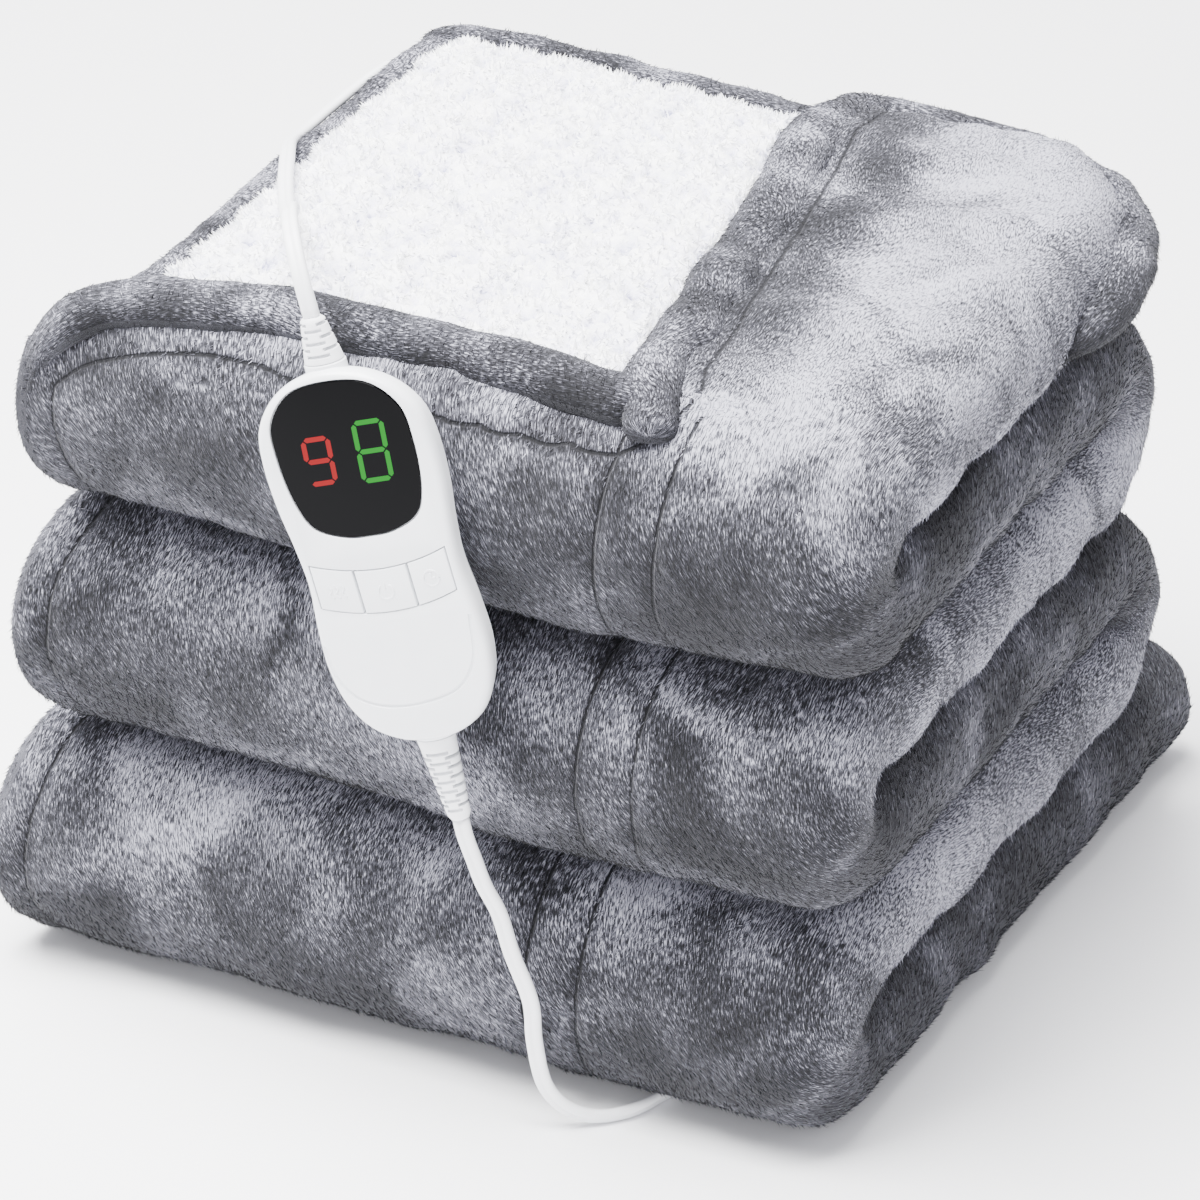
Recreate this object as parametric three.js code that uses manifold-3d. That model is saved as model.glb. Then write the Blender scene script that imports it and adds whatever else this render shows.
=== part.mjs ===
// A heated throw folded for the shelf, with its hand control lying against the front.
// Millimetres, +Z up, +X along the front from left to right, +Y from the front to the back.

import * as THREE from 'three';
import { mergeVertices } from 'three/addons/utils/BufferGeometryUtils.js';
import Module from 'manifold-3d';

const wasm = await Module();
wasm.setup();

// Driving dimensions

const sheetPitch = 11.65;          // from one sheet of the strip to the next
const sheetThickness = 11.0;       // flannel face and sherpa back together, with their pile
const sheetsInStrip = 4;           // the throw is folded in half twice along its length
const runPitch = sheetPitch * sheetsInStrip;
const turnRadius = runPitch / 2;   // middle of the strip, where it turns back on itself
const stackHeight = 6 * runPitch;
const hairGap = 0.3;               // between pieces that touch

const frontTurnY = [46.6, 44.0, 40.5];   // centres of the front rolls, from the floor up
const rearTurnY = [254, 231];            // centres of the two rear turns
const tailEndY = 330;                    // free end of the lowest run
const droopStartY = 240;                 // where the top run starts to bend down at the back
const droopRadius = 150;
const innerDroopDeg = 12;                // the three inner sheets end here
const flapDroopDeg = 20;                 // the top sheet's flap reaches further

// Left and right edge of the strip in each run, from the floor up.
const runs = [
    { left: -14, right: 309 },
    { left: -12, right: 313 },
    { left: 0, right: 315 },
    { left: 4, right: 317 },
    { left: 9, right: 320 },
    { left: 10, right: 324 },
];
const hemAngles = [-45, 0, 45];    // points round a sheet's hem
const rollBulge = 9;               // the front rolls' left ends swell past their runs
const secondHemInset = 22;            // the second sheet's hem lies this far in from the left edge

// The top run's right rear corner is drawn in where it bends down.
const topRightEdge = [
    { y: 170, x: 324 },
    { y: 205, x: 322 },
    { y: 240, x: 314 },
    { y: 256, x: 306 },
    { y: 272, x: 293 },
    { y: 292, x: 260 },
];

// Where the top sheet starts in the top run: its hem runs along the front, then back.
const windowEdge = [
    { y: 10, x: 12 },
    { y: 17, x: 30 },
    { y: 25, x: 55 },
    { y: 33, x: 95 },
    { y: 36, x: 224 },
    { y: 116, x: 211 },
    { y: 182, x: 202 },
    { y: 241, x: 191 },
    { y: 300, x: 189 },
];

// Geometry helpers

function solidFrom(geometry) {
    const plain = geometry.clone();
    for (const name of ['normal', 'uv']) plain.deleteAttribute(name);
    const merged = mergeVertices(plain, 1e-3);
    return new wasm.Manifold(new wasm.Mesh({
        numProp: 3,
        vertProperties: new Float32Array(merged.attributes.position.array),
        triVerts: new Uint32Array(merged.index.array),
    }));
}

function geometryFrom(solid) {
    const mesh = solid.getMesh();
    const geometry = new THREE.BufferGeometry();
    geometry.setAttribute('position', new THREE.BufferAttribute(new Float32Array(mesh.vertProperties), 3));
    geometry.setIndex(new THREE.BufferAttribute(new Uint32Array(mesh.triVerts), 1));
    geometry.computeVertexNormals();
    return geometry;
}

// A closed skin over a row of rings with the same number of points, capped flat at both ends.
function skin(rings, capFaces) {
    const points = rings.flat();
    const count = rings[0].length;
    const faces = [];
    for (let r = 0; r + 1 < rings.length; r++) {
        for (let i = 0; i < count; i++) {
            const a = r * count + i;
            const b = r * count + (i + 1) % count;
            faces.push(a, b, b + count, a, b + count, a + count);
        }
    }
    const last = (rings.length - 1) * count;
    for (const [a, b, c] of capFaces) {
        faces.push(a, c, b, last + a, last + b, last + c);
    }
    const geometry = new THREE.BufferGeometry();
    geometry.setAttribute('position', new THREE.Float32BufferAttribute(points.flatMap((p) => [p.x, p.y, p.z]), 3));
    geometry.setIndex(faces);
    if (signedVolume(geometry) < 0) {
        for (let i = 0; i < faces.length; i += 3) [faces[i + 1], faces[i + 2]] = [faces[i + 2], faces[i + 1]];
        geometry.setIndex(faces);
    }
    geometry.computeVertexNormals();
    return geometry;
}

function signedVolume(geometry) {
    const position = geometry.attributes.position;
    const index = geometry.index.array;
    const [a, b, c] = [new THREE.Vector3(), new THREE.Vector3(), new THREE.Vector3()];
    let sum = 0;
    for (let i = 0; i < index.length; i += 3) {
        a.fromBufferAttribute(position, index[i]);
        b.fromBufferAttribute(position, index[i + 1]);
        c.fromBufferAttribute(position, index[i + 2]);
        sum += a.dot(b.cross(c)) / 6;
    }
    return sum;
}

function fan(count) {
    return Array.from({ length: count - 2 }, (_, i) => [0, i + 1, i + 2]);
}

function mix(a, b, t) {
    return a + (b - a) * t;
}

// Value of a table's column at a place along another column, straight between rows.
function lookUp(table, key, value, at) {
    if (at <= table[0][key]) return table[0][value];
    for (let i = 0; i + 1 < table.length; i++) {
        const [low, high] = [table[i], table[i + 1]];
        if (at <= high[key]) return mix(low[value], high[value], (at - low[key]) / (high[key] - low[key]));
    }
    return table.at(-1)[value];
}

// The cloth: one strip of four sheets, laid back and forth

// Points down the middle of the meander that the strip's cross-section makes, with the
// direction to its flannel side. The first sheet starts at its hem on the left.
function sectionLine(topHem, secondHem, left, right) {
    const foldX = right - 1.5 * sheetPitch - sheetThickness / 2;
    const leftFoldX = left + sheetPitch / 2 + sheetThickness / 2;
    const line = [];
    const sheet = (from, to, v, normal, first, last) => {
        for (let i = first; i <= last; i++) line.push({ x: mix(from, to, i / 4), v, nx: 0, nv: normal });
    };
    const fold = (x, v, radius, fromDeg, toDeg, steps, outward) => {
        for (let i = 0; i <= steps; i++) {
            const angle = THREE.MathUtils.degToRad(mix(fromDeg, toDeg, i / steps));
            const [c, s] = [Math.cos(angle), Math.sin(angle)];
            line.push({ x: x + radius * c, v: v + radius * s, nx: c * outward, nv: s * outward });
        }
    };
    sheet(topHem, foldX, 1.5 * sheetPitch, 1, 0, 3);
    fold(foldX, 0, 1.5 * sheetPitch, 90, -90, 6, 1);
    sheet(foldX, leftFoldX, -1.5 * sheetPitch, -1, 1, 3);
    fold(leftFoldX, -sheetPitch, sheetPitch / 2, -90, -270, 4, 1);
    sheet(leftFoldX, foldX, -0.5 * sheetPitch, 1, 1, 3);
    fold(foldX, 0, sheetPitch / 2, -90, 90, 4, -1);
    sheet(foldX, secondHem, 0.5 * sheetPitch, -1, 1, 4);
    return line;
}

// The closed outline of that section, with round hems.
function sectionOutline(topHem, secondHem, left, right) {
    const half = sheetThickness / 2;
    const line = sectionLine(topHem + half, secondHem + half, left, right);
    const side = (sign) => line.map((p) => ({ x: p.x + sign * half * p.nx, v: p.v + sign * half * p.nv }));
    const hem = (p) => hemAngles.map((deg) => {
        const angle = THREE.MathUtils.degToRad(deg);
        return { x: p.x - half * Math.cos(angle), v: p.v + half * Math.sin(angle) };
    });
    return [...side(1), ...hem(line.at(-1)), ...side(-1).reverse(), ...hem(line[0])];
}

// Flat end of the strip: the outline's two sides joined straight across, and the two hems.
function sectionEnd(outline) {
    const count = outline.length;
    const sideCount = (count - 2 * hemAngles.length) / 2;
    const inner = (i) => sideCount + hemAngles.length + (sideCount - 1 - i);
    const faces = [];
    for (let i = 0; i + 1 < sideCount; i++) faces.push([i, i + 1, inner(i + 1)], [i, inner(i + 1), inner(i)]);
    for (let i = 0; i < hemAngles.length; i++) {
        faces.push([sideCount - 1, sideCount + i, sideCount + i + 1]);
        faces.push([inner(0), inner(0) + 1 + i, (inner(0) + 2 + i) % count]);
    }
    return faces;
}

// Steps along the folded strip: a point on its middle, and the direction it runs in.
function stripPath() {
    const path = [];
    const step = (run, y, z, ty, tz, bulge = 0) => path.push({ run, y, z, ty, tz, bulge });
    const shared = [100, 170];
    const turn = (run, centreY, centreZ, front, degrees) => {
        for (const deg of degrees) {
            const angle = THREE.MathUtils.degToRad(deg);
            const out = front ? -1 : 1;
            step(run + deg / 180, centreY + out * turnRadius * Math.sin(angle), centreZ - turnRadius * Math.cos(angle),
                out * Math.cos(angle), Math.sin(angle), front ? Math.sin(angle) : 0);
        }
    };
    const evenDegrees = [0, 25, 50, 75, 105, 130, 155, 180];
    const hemDegrees = [0, 27, 54, 81, 105, 128, 138, 146, 155, 164, 172, 180];
    for (let run = 0; run < 6; run++) {
        const z = (run + 0.5) * runPitch;
        const forward = run % 2 === 0;
        const heading = forward ? -1 : 1;
        if (run === 0) {
            step(0, tailEndY, z, heading, 0);
            step(0, 285, z, heading, 0);
            step(0, rearTurnY[0] - 15, z, heading, 0);
        }
        for (const y of forward ? [...shared].reverse() : shared) step(run, y, z, heading, 0);
        if (run < 5) {
            const pair = Math.floor(run / 2);
            const centreY = forward ? frontTurnY[pair] : rearTurnY[pair];
            turn(run, centreY, z + turnRadius, forward, run === 4 ? hemDegrees : evenDegrees);
        }
    }
    const z = 5.5 * runPitch;
    step(5, 205, z, 1, 0);
    step(5, droopStartY, z, 1, 0);
    for (const deg of [4, 8, innerDroopDeg]) {
        const angle = THREE.MathUtils.degToRad(deg);
        step(5, droopStartY + droopRadius * Math.sin(angle), z - droopRadius * (1 - Math.cos(angle)),
            Math.cos(angle), -Math.sin(angle));
    }
    return path;
}

// The stack isn't ruled with a straight edge: its layers swell and sway a little.
function sway(p) {
    const level = p.z / stackHeight;
    const lift = Math.max(0, Math.min(1, (p.z - 12) / 60));
    const x = p.x + 2.5 * level * Math.sin(p.y / 62);
    const y = p.y + lift * (2.2 * Math.sin(p.x / 54 + 1.0) + 1.6 * Math.sin(p.z / 38));
    const z = p.z + lift * (1.8 * Math.sin(p.x / 60 + 0.6) * Math.sin(level * Math.PI)
        + 1.5 * level * Math.sin(p.x / 75 + 2.2) - 1.6 * level * Math.cos(p.y / 48));
    return new THREE.Vector3(x, y, z);
}

function clothGeometry() {
    const rings = [];
    let ends = [];
    for (const p of stripPath()) {
        const low = runs[Math.floor(Math.min(p.run, 5))];
        const high = runs[Math.min(5, Math.floor(p.run) + 1)];
        const t = p.run - Math.floor(p.run);
        const left = mix(low.left, high.left, t) - rollBulge * p.bulge;
        const right = p.run < 5 ? mix(low.right, high.right, t) : lookUp(topRightEdge, 'y', 'x', p.y);
        const topLevel = p.z + 1.5 * sheetPitch * p.ty;
        const topY = p.y - 1.5 * sheetPitch * p.tz;
        const inTopRun = topLevel > 5.5 * runPitch && p.run > 4.5;
        const topHem = inTopRun ? Math.max(left, lookUp(windowEdge, 'y', 'x', topY)) : left;
        const secondHem = left + mix(3, secondHemInset, THREE.MathUtils.smoothstep(p.run, 4.3, 5));
        const outline = sectionOutline(topHem, secondHem, left, right);
        rings.push(outline.map((q) => sway({ x: q.x, y: p.y - p.tz * q.v, z: p.z + p.ty * q.v })));
        ends = sectionEnd(outline);
    }
    return skin(rings, ends);
}

// A rolled hem or tube: an oval swept along a curve through hand-placed points, with round ends.
function roll(points, halfWidth, halfHeight, steps, sides = 10, shape = sway) {
    const curve = new THREE.CatmullRomCurve3(points.map((p) => new THREE.Vector3(...p)), false, 'centripetal');
    const rings = [];
    const ring = (t, scale, shift) => {
        const along = curve.getTangentAt(t);
        const across = new THREE.Vector3().crossVectors(along, new THREE.Vector3(0, 0, 1)).normalize();
        const up = new THREE.Vector3().crossVectors(across, along);
        const centre = curve.getPointAt(t).addScaledVector(along, shift * halfHeight);
        rings.push(Array.from({ length: sides }, (_, i) => {
            const angle = (2 * Math.PI * (i + 0.5)) / sides;
            const p = centre.clone().addScaledVector(across, halfWidth * scale * Math.cos(angle))
                .addScaledVector(up, halfHeight * scale * Math.sin(angle));
            return shape(p);
        }));
    };
    ring(0, 0.35, -0.95);
    ring(0, 0.8, -0.6);
    for (let i = 0; i <= steps; i++) ring(i / steps, 1, 0);
    ring(1, 0.8, 0.6);
    ring(1, 0.35, 0.95);
    return skin(rings, fan(sides));
}

const topLevelZ = stackHeight - sheetPitch / 2;          // middle of the top sheet
const secondLevelZ = stackHeight - 1.5 * sheetPitch;     // middle of the sheet below it
const frontHemPath = [
    [13, 8, topLevelZ - 14], [28, 16.5, topLevelZ - 7.5], [55, 23.5, topLevelZ - 3.5], [92, 30, topLevelZ - 1],
    [130, 32, topLevelZ], [180, 32, topLevelZ], [222, 30, topLevelZ - 0.5],
];
const sideHemPath = [
    [233, 15, topLevelZ], [225, 38, topLevelZ + 2], [213, 116, topLevelZ + 1], [204, 182, topLevelZ + 1],
    [193, 241, topLevelZ + 1], [191, 283, topLevelZ - 6],
];
const rearHemPath = [
    [34, 262, secondLevelZ - 1.5], [60, 268, secondLevelZ - 2.5], [110, 269, secondLevelZ - 2.5], [190, 268, secondLevelZ - 2.5],
];

// The top sheet's flap, which reaches further down the back than the three sheets inside it.
function flapGeometry() {
    const half = sheetThickness / 2 - 0.2;
    const rings = [innerDroopDeg - 3, innerDroopDeg + 2, (innerDroopDeg + flapDroopDeg) / 2 + 1, flapDroopDeg].map((deg) => {
        const angle = THREE.MathUtils.degToRad(deg);
        const along = (v) => [droopStartY + (droopRadius + v) * Math.sin(angle), 5.5 * runPitch - droopRadius + (droopRadius + v) * Math.cos(angle)];
        const [y] = along(1.5 * sheetPitch);
        const [left, right] = [lookUp(windowEdge, 'y', 'x', y) + half, lookUp(topRightEdge, 'y', 'x', y) - 24];
        const across = [0, 0.33, 0.67, 1].map((t) => mix(left, right, t));
        const outline = [
            ...across.map((x) => [x, half]), [right + 4, 0],
            ...across.reverse().map((x) => [x, -half]), [left - half, 0],
        ];
        return outline.map(([x, v]) => {
            const [pointY, z] = along(1.5 * sheetPitch + v);
            return sway({ x, y: pointY, z });
        });
    });
    return skin(rings, fan(rings[0].length));
}

const throwCloth = geometryFrom(
    solidFrom(clothGeometry())
        .add(solidFrom(flapGeometry()))
        .add(solidFrom(roll(frontHemPath, 11, 6.6, 14)))
        .add(solidFrom(roll(sideHemPath, 11.5, 7.2, 16)))
        .add(solidFrom(roll(rearHemPath, 8, 6, 8))),
);

// The sherpa back of the second sheet, where the top sheet leaves it bare

const liningGap = 0.9;             // above the sheet it belongs to, which sways under it

function liningGeometry() {
    const [front, back] = [46, 250];
    const [acrossSteps, alongSteps] = [12, 14];
    const base = secondLevelZ + sheetThickness / 2 + liningGap;
    const rightEdge = (y) => lookUp(windowEdge, 'y', 'x', y) - 11;
    const top = [];
    const bottom = [];
    for (let j = 0; j <= alongSteps; j++) {
        const y = mix(front, back, j / alongSteps);
        for (let i = 0; i <= acrossSteps; i++) {
            const x = mix(36, rightEdge(y), i / acrossSteps);
            const rim = Math.min(1, Math.min(i, acrossSteps - i, j, alongSteps - j) / 0.8);
            const lump = 0.7 * Math.sin(x / 7.1 + y / 13) * Math.cos(y / 8.3 - x / 17);
            const drop = y > droopStartY ? droopRadius - Math.sqrt(droopRadius ** 2 - (y - droopStartY) ** 2) : 0;
            bottom.push(sway({ x, y, z: base - drop }));
            top.push(sway({ x, y, z: base - drop + mix(3.2, 7.0 + lump, rim) }));
        }
    }
    const columns = acrossSteps + 1;
    const faces = [];
    const offset = top.length;
    for (let j = 0; j < alongSteps; j++) {
        for (let i = 0; i < acrossSteps; i++) {
            const a = j * columns + i;
            faces.push(a, a + 1, a + columns + 1, a, a + columns + 1, a + columns);
            faces.push(offset + a, offset + a + columns + 1, offset + a + 1, offset + a, offset + a + columns, offset + a + columns + 1);
        }
    }
    const rim = [];
    for (let i = 0; i < acrossSteps; i++) rim.push(i);
    for (let j = 0; j < alongSteps; j++) rim.push(j * columns + acrossSteps);
    for (let i = acrossSteps; i > 0; i--) rim.push(alongSteps * columns + i);
    for (let j = alongSteps; j > 0; j--) rim.push(j * columns);
    for (let i = 0; i < rim.length; i++) {
        const a = rim[i];
        const b = rim[(i + 1) % rim.length];
        faces.push(a, offset + a, offset + b, a, offset + b, b);
    }
    const geometry = new THREE.BufferGeometry();
    geometry.setAttribute('position', new THREE.Float32BufferAttribute([...top, ...bottom].flatMap((p) => [p.x, p.y, p.z]), 3));
    geometry.setIndex(faces);
    geometry.computeVertexNormals();
    return geometry;
}

const lining = liningGeometry();

// The hand control, in its own frame: X across, Y up its length, Z out of its face

const caseBottomY = -63.5;
const caseTopY = 72.6;
const controlPlace = { x: 159.5, y: -30.9, z: 220.1 };   // middle of its face, against the front rolls
const controlTurnDeg = { aboutUp: 12, lean: 3, tilt: 16.15 };

// Half widths of the case at its widest level, from the lower end to the upper one.
const caseStations = [
    { y: caseBottomY, half: 0 }, { y: -62.6, half: 9 }, { y: -57, half: 19.5 }, { y: -47, half: 26.2 },
    { y: -33, half: 29.2 }, { y: -18, half: 28.8 }, { y: -2, half: 27.4 }, { y: 12, half: 28.4 }, { y: 28, half: 30.4 },
    { y: 44, half: 30.7 }, { y: 55, half: 28.8 }, { y: 64, half: 22.4 }, { y: 70, half: 13 }, { y: caseTopY, half: 0 },
];
// How far the case draws in at each level of its thickness: across, and at its two ends.
const caseLevels = [
    { z: -20, across: 12, ends: 16 }, { z: -18, across: 7, ends: 9 }, { z: -14, across: 2.5, ends: 4 },
    { z: -9, across: 0.4, ends: 1.6 }, { z: -4, across: 0, ends: 0 }, { z: -1.5, across: 0.4, ends: 0.4 },
    { z: 0, across: 1.6, ends: 1.4 },
];

function caseGeometry() {
    const widest = Math.max(...caseStations.map((s) => s.half));
    const middleY = (caseTopY + caseBottomY) / 2;
    const halfLength = (caseTopY - caseBottomY) / 2;
    const outline = [...caseStations.map((s) => [s.half, s.y]), ...caseStations.slice(1, -1).reverse().map((s) => [-s.half, s.y])];
    const rings = caseLevels.map(({ z, across, ends }) => outline.map(([x, y]) => new THREE.Vector3(
        x * (1 - across / widest), middleY + (y - middleY) * (1 - ends / halfLength), z)));
    return skin(rings, fan(outline.length));
}

// Outline of the row of keys: two arcs, lower in the middle.
const keyRow = { top: 1.2, bottom: -15, rise: 4.6, halfWidth: 24.6, split: 9.6 };

function keyShape(fromX, toX, margin) {
    const arcY = (x, base) => base + keyRow.rise * (x / keyRow.halfWidth) ** 2;
    const steps = 5;
    const across = Array.from({ length: steps + 1 }, (_, i) => mix(fromX + margin, toX - margin, i / steps));
    return new THREE.Shape([
        ...across.map((x) => new THREE.Vector2(x, arcY(x, keyRow.bottom) + margin)),
        ...across.reverse().map((x) => new THREE.Vector2(x, arcY(x, keyRow.top) - margin)),
    ]);
}

// Right half of the display's outline, from its lower edge to its upper one.
const displayHalf = [[8, 13.4], [18.6, 18.2], [22.6, 27], [24.6, 45], [23.2, 57.4], [14.6, 67], [0, 69.6]];

function displayShape(margin) {
    const middleY = 41.5;
    const corners = [...displayHalf, ...displayHalf.slice(0, -1).reverse().map(([x, y]) => [-x, y])];
    const curve = new THREE.CatmullRomCurve3(corners.map(([x, y]) => new THREE.Vector3(x, y, 0)), true, 'centripetal');
    return new THREE.Shape(curve.getPoints(28).slice(0, -1).map((p) => new THREE.Vector2(
        p.x * (1 - margin / 24.6), middleY + (p.y - middleY) * (1 - margin / 28))));
}

function plate(shape, fromZ, toZ) {
    const geometry = new THREE.ExtrudeGeometry(shape, { depth: toZ - fromZ, bevelEnabled: false, curveSegments: 6 });
    geometry.translate(0, 0, fromZ);
    return geometry;
}

const upperRelief = { length: 15.4, root: 7.0, tip: 4.2 };
const lowerRelief = { length: 31.3, root: 7.0, tip: 4.0 };
const reliefPlace = { x: -1.2, z: -8.5 };   // on the case's ends, behind its face
const displayDepth = 1.6;
const keyPocketDepth = 5.2;
const keyThickness = 4.0;
const keyGap = 0.45;
const stub = { half: 7.4, flatness: 0.72, into: 9, out: 1.2 };   // where a strain relief meets the case

// An oval cone along +Y from the origin.
function ovalCone(length, rootHalf, tipHalf, flatness) {
    const sides = 12;
    return solidFrom(skin([0, 0.35, 0.7, 1].map((t) => Array.from({ length: sides }, (_, i) => {
        const angle = (2 * Math.PI * (i + 0.5)) / sides;
        const half = mix(rootHalf, tipHalf, t);
        return new THREE.Vector3(half * Math.cos(angle), length * t, flatness * half * Math.sin(angle));
    })), fan(sides)));
}

const caseStub = ovalCone(stub.into + stub.out, stub.half, stub.half, stub.flatness);

const housing = geometryFrom(
    solidFrom(caseGeometry())
        .add(caseStub.translate([reliefPlace.x, caseTopY - stub.into, reliefPlace.z]))
        .add(caseStub.translate([reliefPlace.x, caseBottomY - stub.out, reliefPlace.z]))
        .subtract(solidFrom(plate(displayShape(0), -displayDepth, 1)))
        .subtract(solidFrom(plate(keyShape(-keyRow.halfWidth, keyRow.halfWidth, 0), -keyPocketDepth, 1))),
);
const displayWindow = plate(displayShape(0.4), -displayDepth + hairGap, -0.1);

// A strain relief: an oval cone with slots cut across its two sides in turn.
function reliefGeometry(length, rootHalf, tipHalf) {
    let solid = ovalCone(length, rootHalf, tipHalf, stub.flatness);
    const slots = Math.round(length / 3.6);
    for (let i = 0; i < slots; i++) {
        const slot = new THREE.BoxGeometry(rootHalf, 1.5, 2 * rootHalf);
        slot.translate((i % 2 ? 1 : -1) * rootHalf * 0.95, length * (0.2 + (0.66 * i) / (slots - 1)), 0);
        solid = solid.subtract(solidFrom(slot));
    }
    return geometryFrom(solid);
}

// Cords

const cordDiameter = 6;
// Mains lead: from the upper strain relief over the stack, down behind it and to its coil.
const mainsRoute = [
    [131.3, -23.7, 305.4], [130.5, -23.7, 308.2], [128.3, -23.0, 314.1], [125.4, -20.8, 319.5], [122.1, -17.4, 324.0],
    [118.5, -12.9, 327.1], [114.5, -7.0, 328.7], [110.4, 0.0, 328.3], [106.0, 8.0, 325.6], [100.0, 20.0, 319.0],
    [92.0, 34.0, 310.0], [83.0, 49.0, 300.2], [74.0, 64.0, 291.6], [65.0, 79.0, 285.5], [56.0, 94.0, 282.4],
    [47.0, 110.0, 281.8], [39.5, 124.5, 280.4], [32.6, 138.0, 276.6], [26.5, 151.0, 270.6], [21.8, 165.0, 265.0],
    [18.8, 180.0, 261.9], [17.4, 196.0, 261.2], [17.0, 222.0, 261.8], [17.0, 245.0, 262.2], [17.3, 262.0, 260.4],
    [17.8, 275.6, 257.2], [18.1, 286.0, 247.6], [18.3, 291.6, 233.5], [18.6, 292.6, 216.0], [19.0, 291.0, 194.0], [19.5, 292.0, 170.0],
    [20.3, 297.0, 147.0], [21.3, 303.0, 124.0], [22.2, 306.3, 100.0], [22.9, 309.0, 80.0], [23.6, 317.0, 65.0],
    [24.4, 330.5, 56.0], [25.4, 341.6, 43.0], [27.2, 346.8, 26.0], [31.6, 347.4, 12.5], [41.5, 345.6, 5.0],
    [54.0, 343.2, 3.4], [66.0, 341.4, 3.4],
];
// From the coil to the plug.
const plugRoute = [[108.0, 354.6, 3.4], [113.5, 362.5, 4.5], [121.0, 369.0, 6.5], [130.0, 371.8, 7.8], [137.7, 372.0, 8.0]];
// Throw lead: from the lower strain relief down the front, round on the floor and under the roll.
const throwRoute = [
    [183.9, -22.0, 126.6], [185.3, -21.6, 120.0], [187.6, -19.6, 110.0], [190.2, -15.8, 99.0], [193.0, -11.8, 86.0],
    [196.4, -9.2, 70.0], [200.4, -8.4, 52.0], [205.0, -8.6, 34.0], [210.0, -7.8, 18.0], [215.6, -4.4, 8.0],
    [221.8, 1.6, 4.0], [228.4, 9.6, 3.4], [234.0, 18.5, 3.4],
];

function cordGeometry(route, steps, sides = 9) {
    const curve = new THREE.CatmullRomCurve3(route.map((p) => new THREE.Vector3(...p)), false, 'centripetal');
    const section = new THREE.Shape();
    for (let i = 0; i < sides; i++) {
        const angle = (2 * Math.PI * i) / sides;
        const [x, y] = [Math.cos(angle) * cordDiameter / 2, Math.sin(angle) * cordDiameter / 2];
        if (i === 0) section.moveTo(x, y);
        else section.lineTo(x, y);
    }
    section.closePath();
    return new THREE.ExtrudeGeometry(section, { steps, bevelEnabled: false, extrudePath: curve, curveSegments: 1 });
}

// The coil of the mains lead: two turns side by side and three high.
const floorGap = 0.4;
const coil = { x: 76, y: 383.2, turnDiameter: 66, wide: 2, high: 3 };

function coilGeometry() {
    const half = (coil.wide * cordDiameter) / 2 + 0.3;
    const height = coil.high * cordDiameter + 0.6;
    const middle = coil.turnDiameter / 2;
    const corner = 2;
    const profile = [
        [middle - half, corner], [middle - half + corner, 0], [middle + half - corner, 0], [middle + half, corner],
        [middle + half, height - corner], [middle + half - corner, height], [middle - half + corner, height], [middle - half, height - corner],
        [middle - half, corner],
    ].map(([r, z]) => new THREE.Vector2(r, z));
    const geometry = new THREE.LatheGeometry(profile, 32);
    geometry.rotateX(Math.PI / 2);
    geometry.translate(coil.x, coil.y, floorGap);
    return geometry;
}

// A flat two-pin plug, lying on its side beside the coil.
const plugPlace = { x: 138, y: 372, z: 8, turnDeg: -90 };

function plugBody() {
    const sides = 14;
    const levels = [
        { y: 0, half: 4.2 }, { y: 6, half: 5 }, { y: 16, half: 8.5 }, { y: 24, half: 12.2 }, { y: 36, half: 12.8 }, { y: 38, half: 11.8 },
    ];
    const rings = levels.map(({ y, half }) => Array.from({ length: sides }, (_, i) => {
        const angle = (2 * Math.PI * (i + 0.5)) / sides;
        return new THREE.Vector3(half * Math.cos(angle), y, Math.min(half, 9.5) * 0.8 * Math.sin(angle));
    }));
    return skin(rings, fan(sides));
}

function blade(side) {
    const geometry = new THREE.BoxGeometry(1.5, 16, 6.4);
    geometry.translate(side * 6.35, 38 + 8 + hairGap, 0);
    return geometry;
}

// The assembly

const finishes = {
    flannel: new THREE.MeshStandardMaterial({ color: 0x8b8b93, roughness: 0.95, metalness: 0 }),
    sherpa: new THREE.MeshStandardMaterial({ color: 0xf4f4f6, roughness: 1, metalness: 0 }),
    shell: new THREE.MeshStandardMaterial({ color: 0xf3f4f6, roughness: 0.3, metalness: 0 }),
    display: new THREE.MeshStandardMaterial({ color: 0x111214, roughness: 0.1, metalness: 0 }),
    cord: new THREE.MeshStandardMaterial({ color: 0xf1f1f2, roughness: 0.45, metalness: 0 }),
    blade: new THREE.MeshStandardMaterial({ color: 0xc8b27a, roughness: 0.3, metalness: 1 }),
};

function piece(name, geometry, finish) {
    const mesh = new THREE.Mesh(geometry, finishes[finish]);
    mesh.name = name;
    return mesh;
}

function reliefs() {
    const upper = piece('strain_relief_mains', reliefGeometry(upperRelief.length, upperRelief.root, upperRelief.tip), 'cord');
    upper.position.set(reliefPlace.x, caseTopY + stub.out + hairGap, reliefPlace.z);
    const lower = piece('strain_relief_throw', reliefGeometry(lowerRelief.length, lowerRelief.root, lowerRelief.tip), 'cord');
    lower.position.set(reliefPlace.x, caseBottomY - stub.out - hairGap, reliefPlace.z);
    lower.rotation.z = Math.PI;
    return [upper, lower];
}

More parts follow.
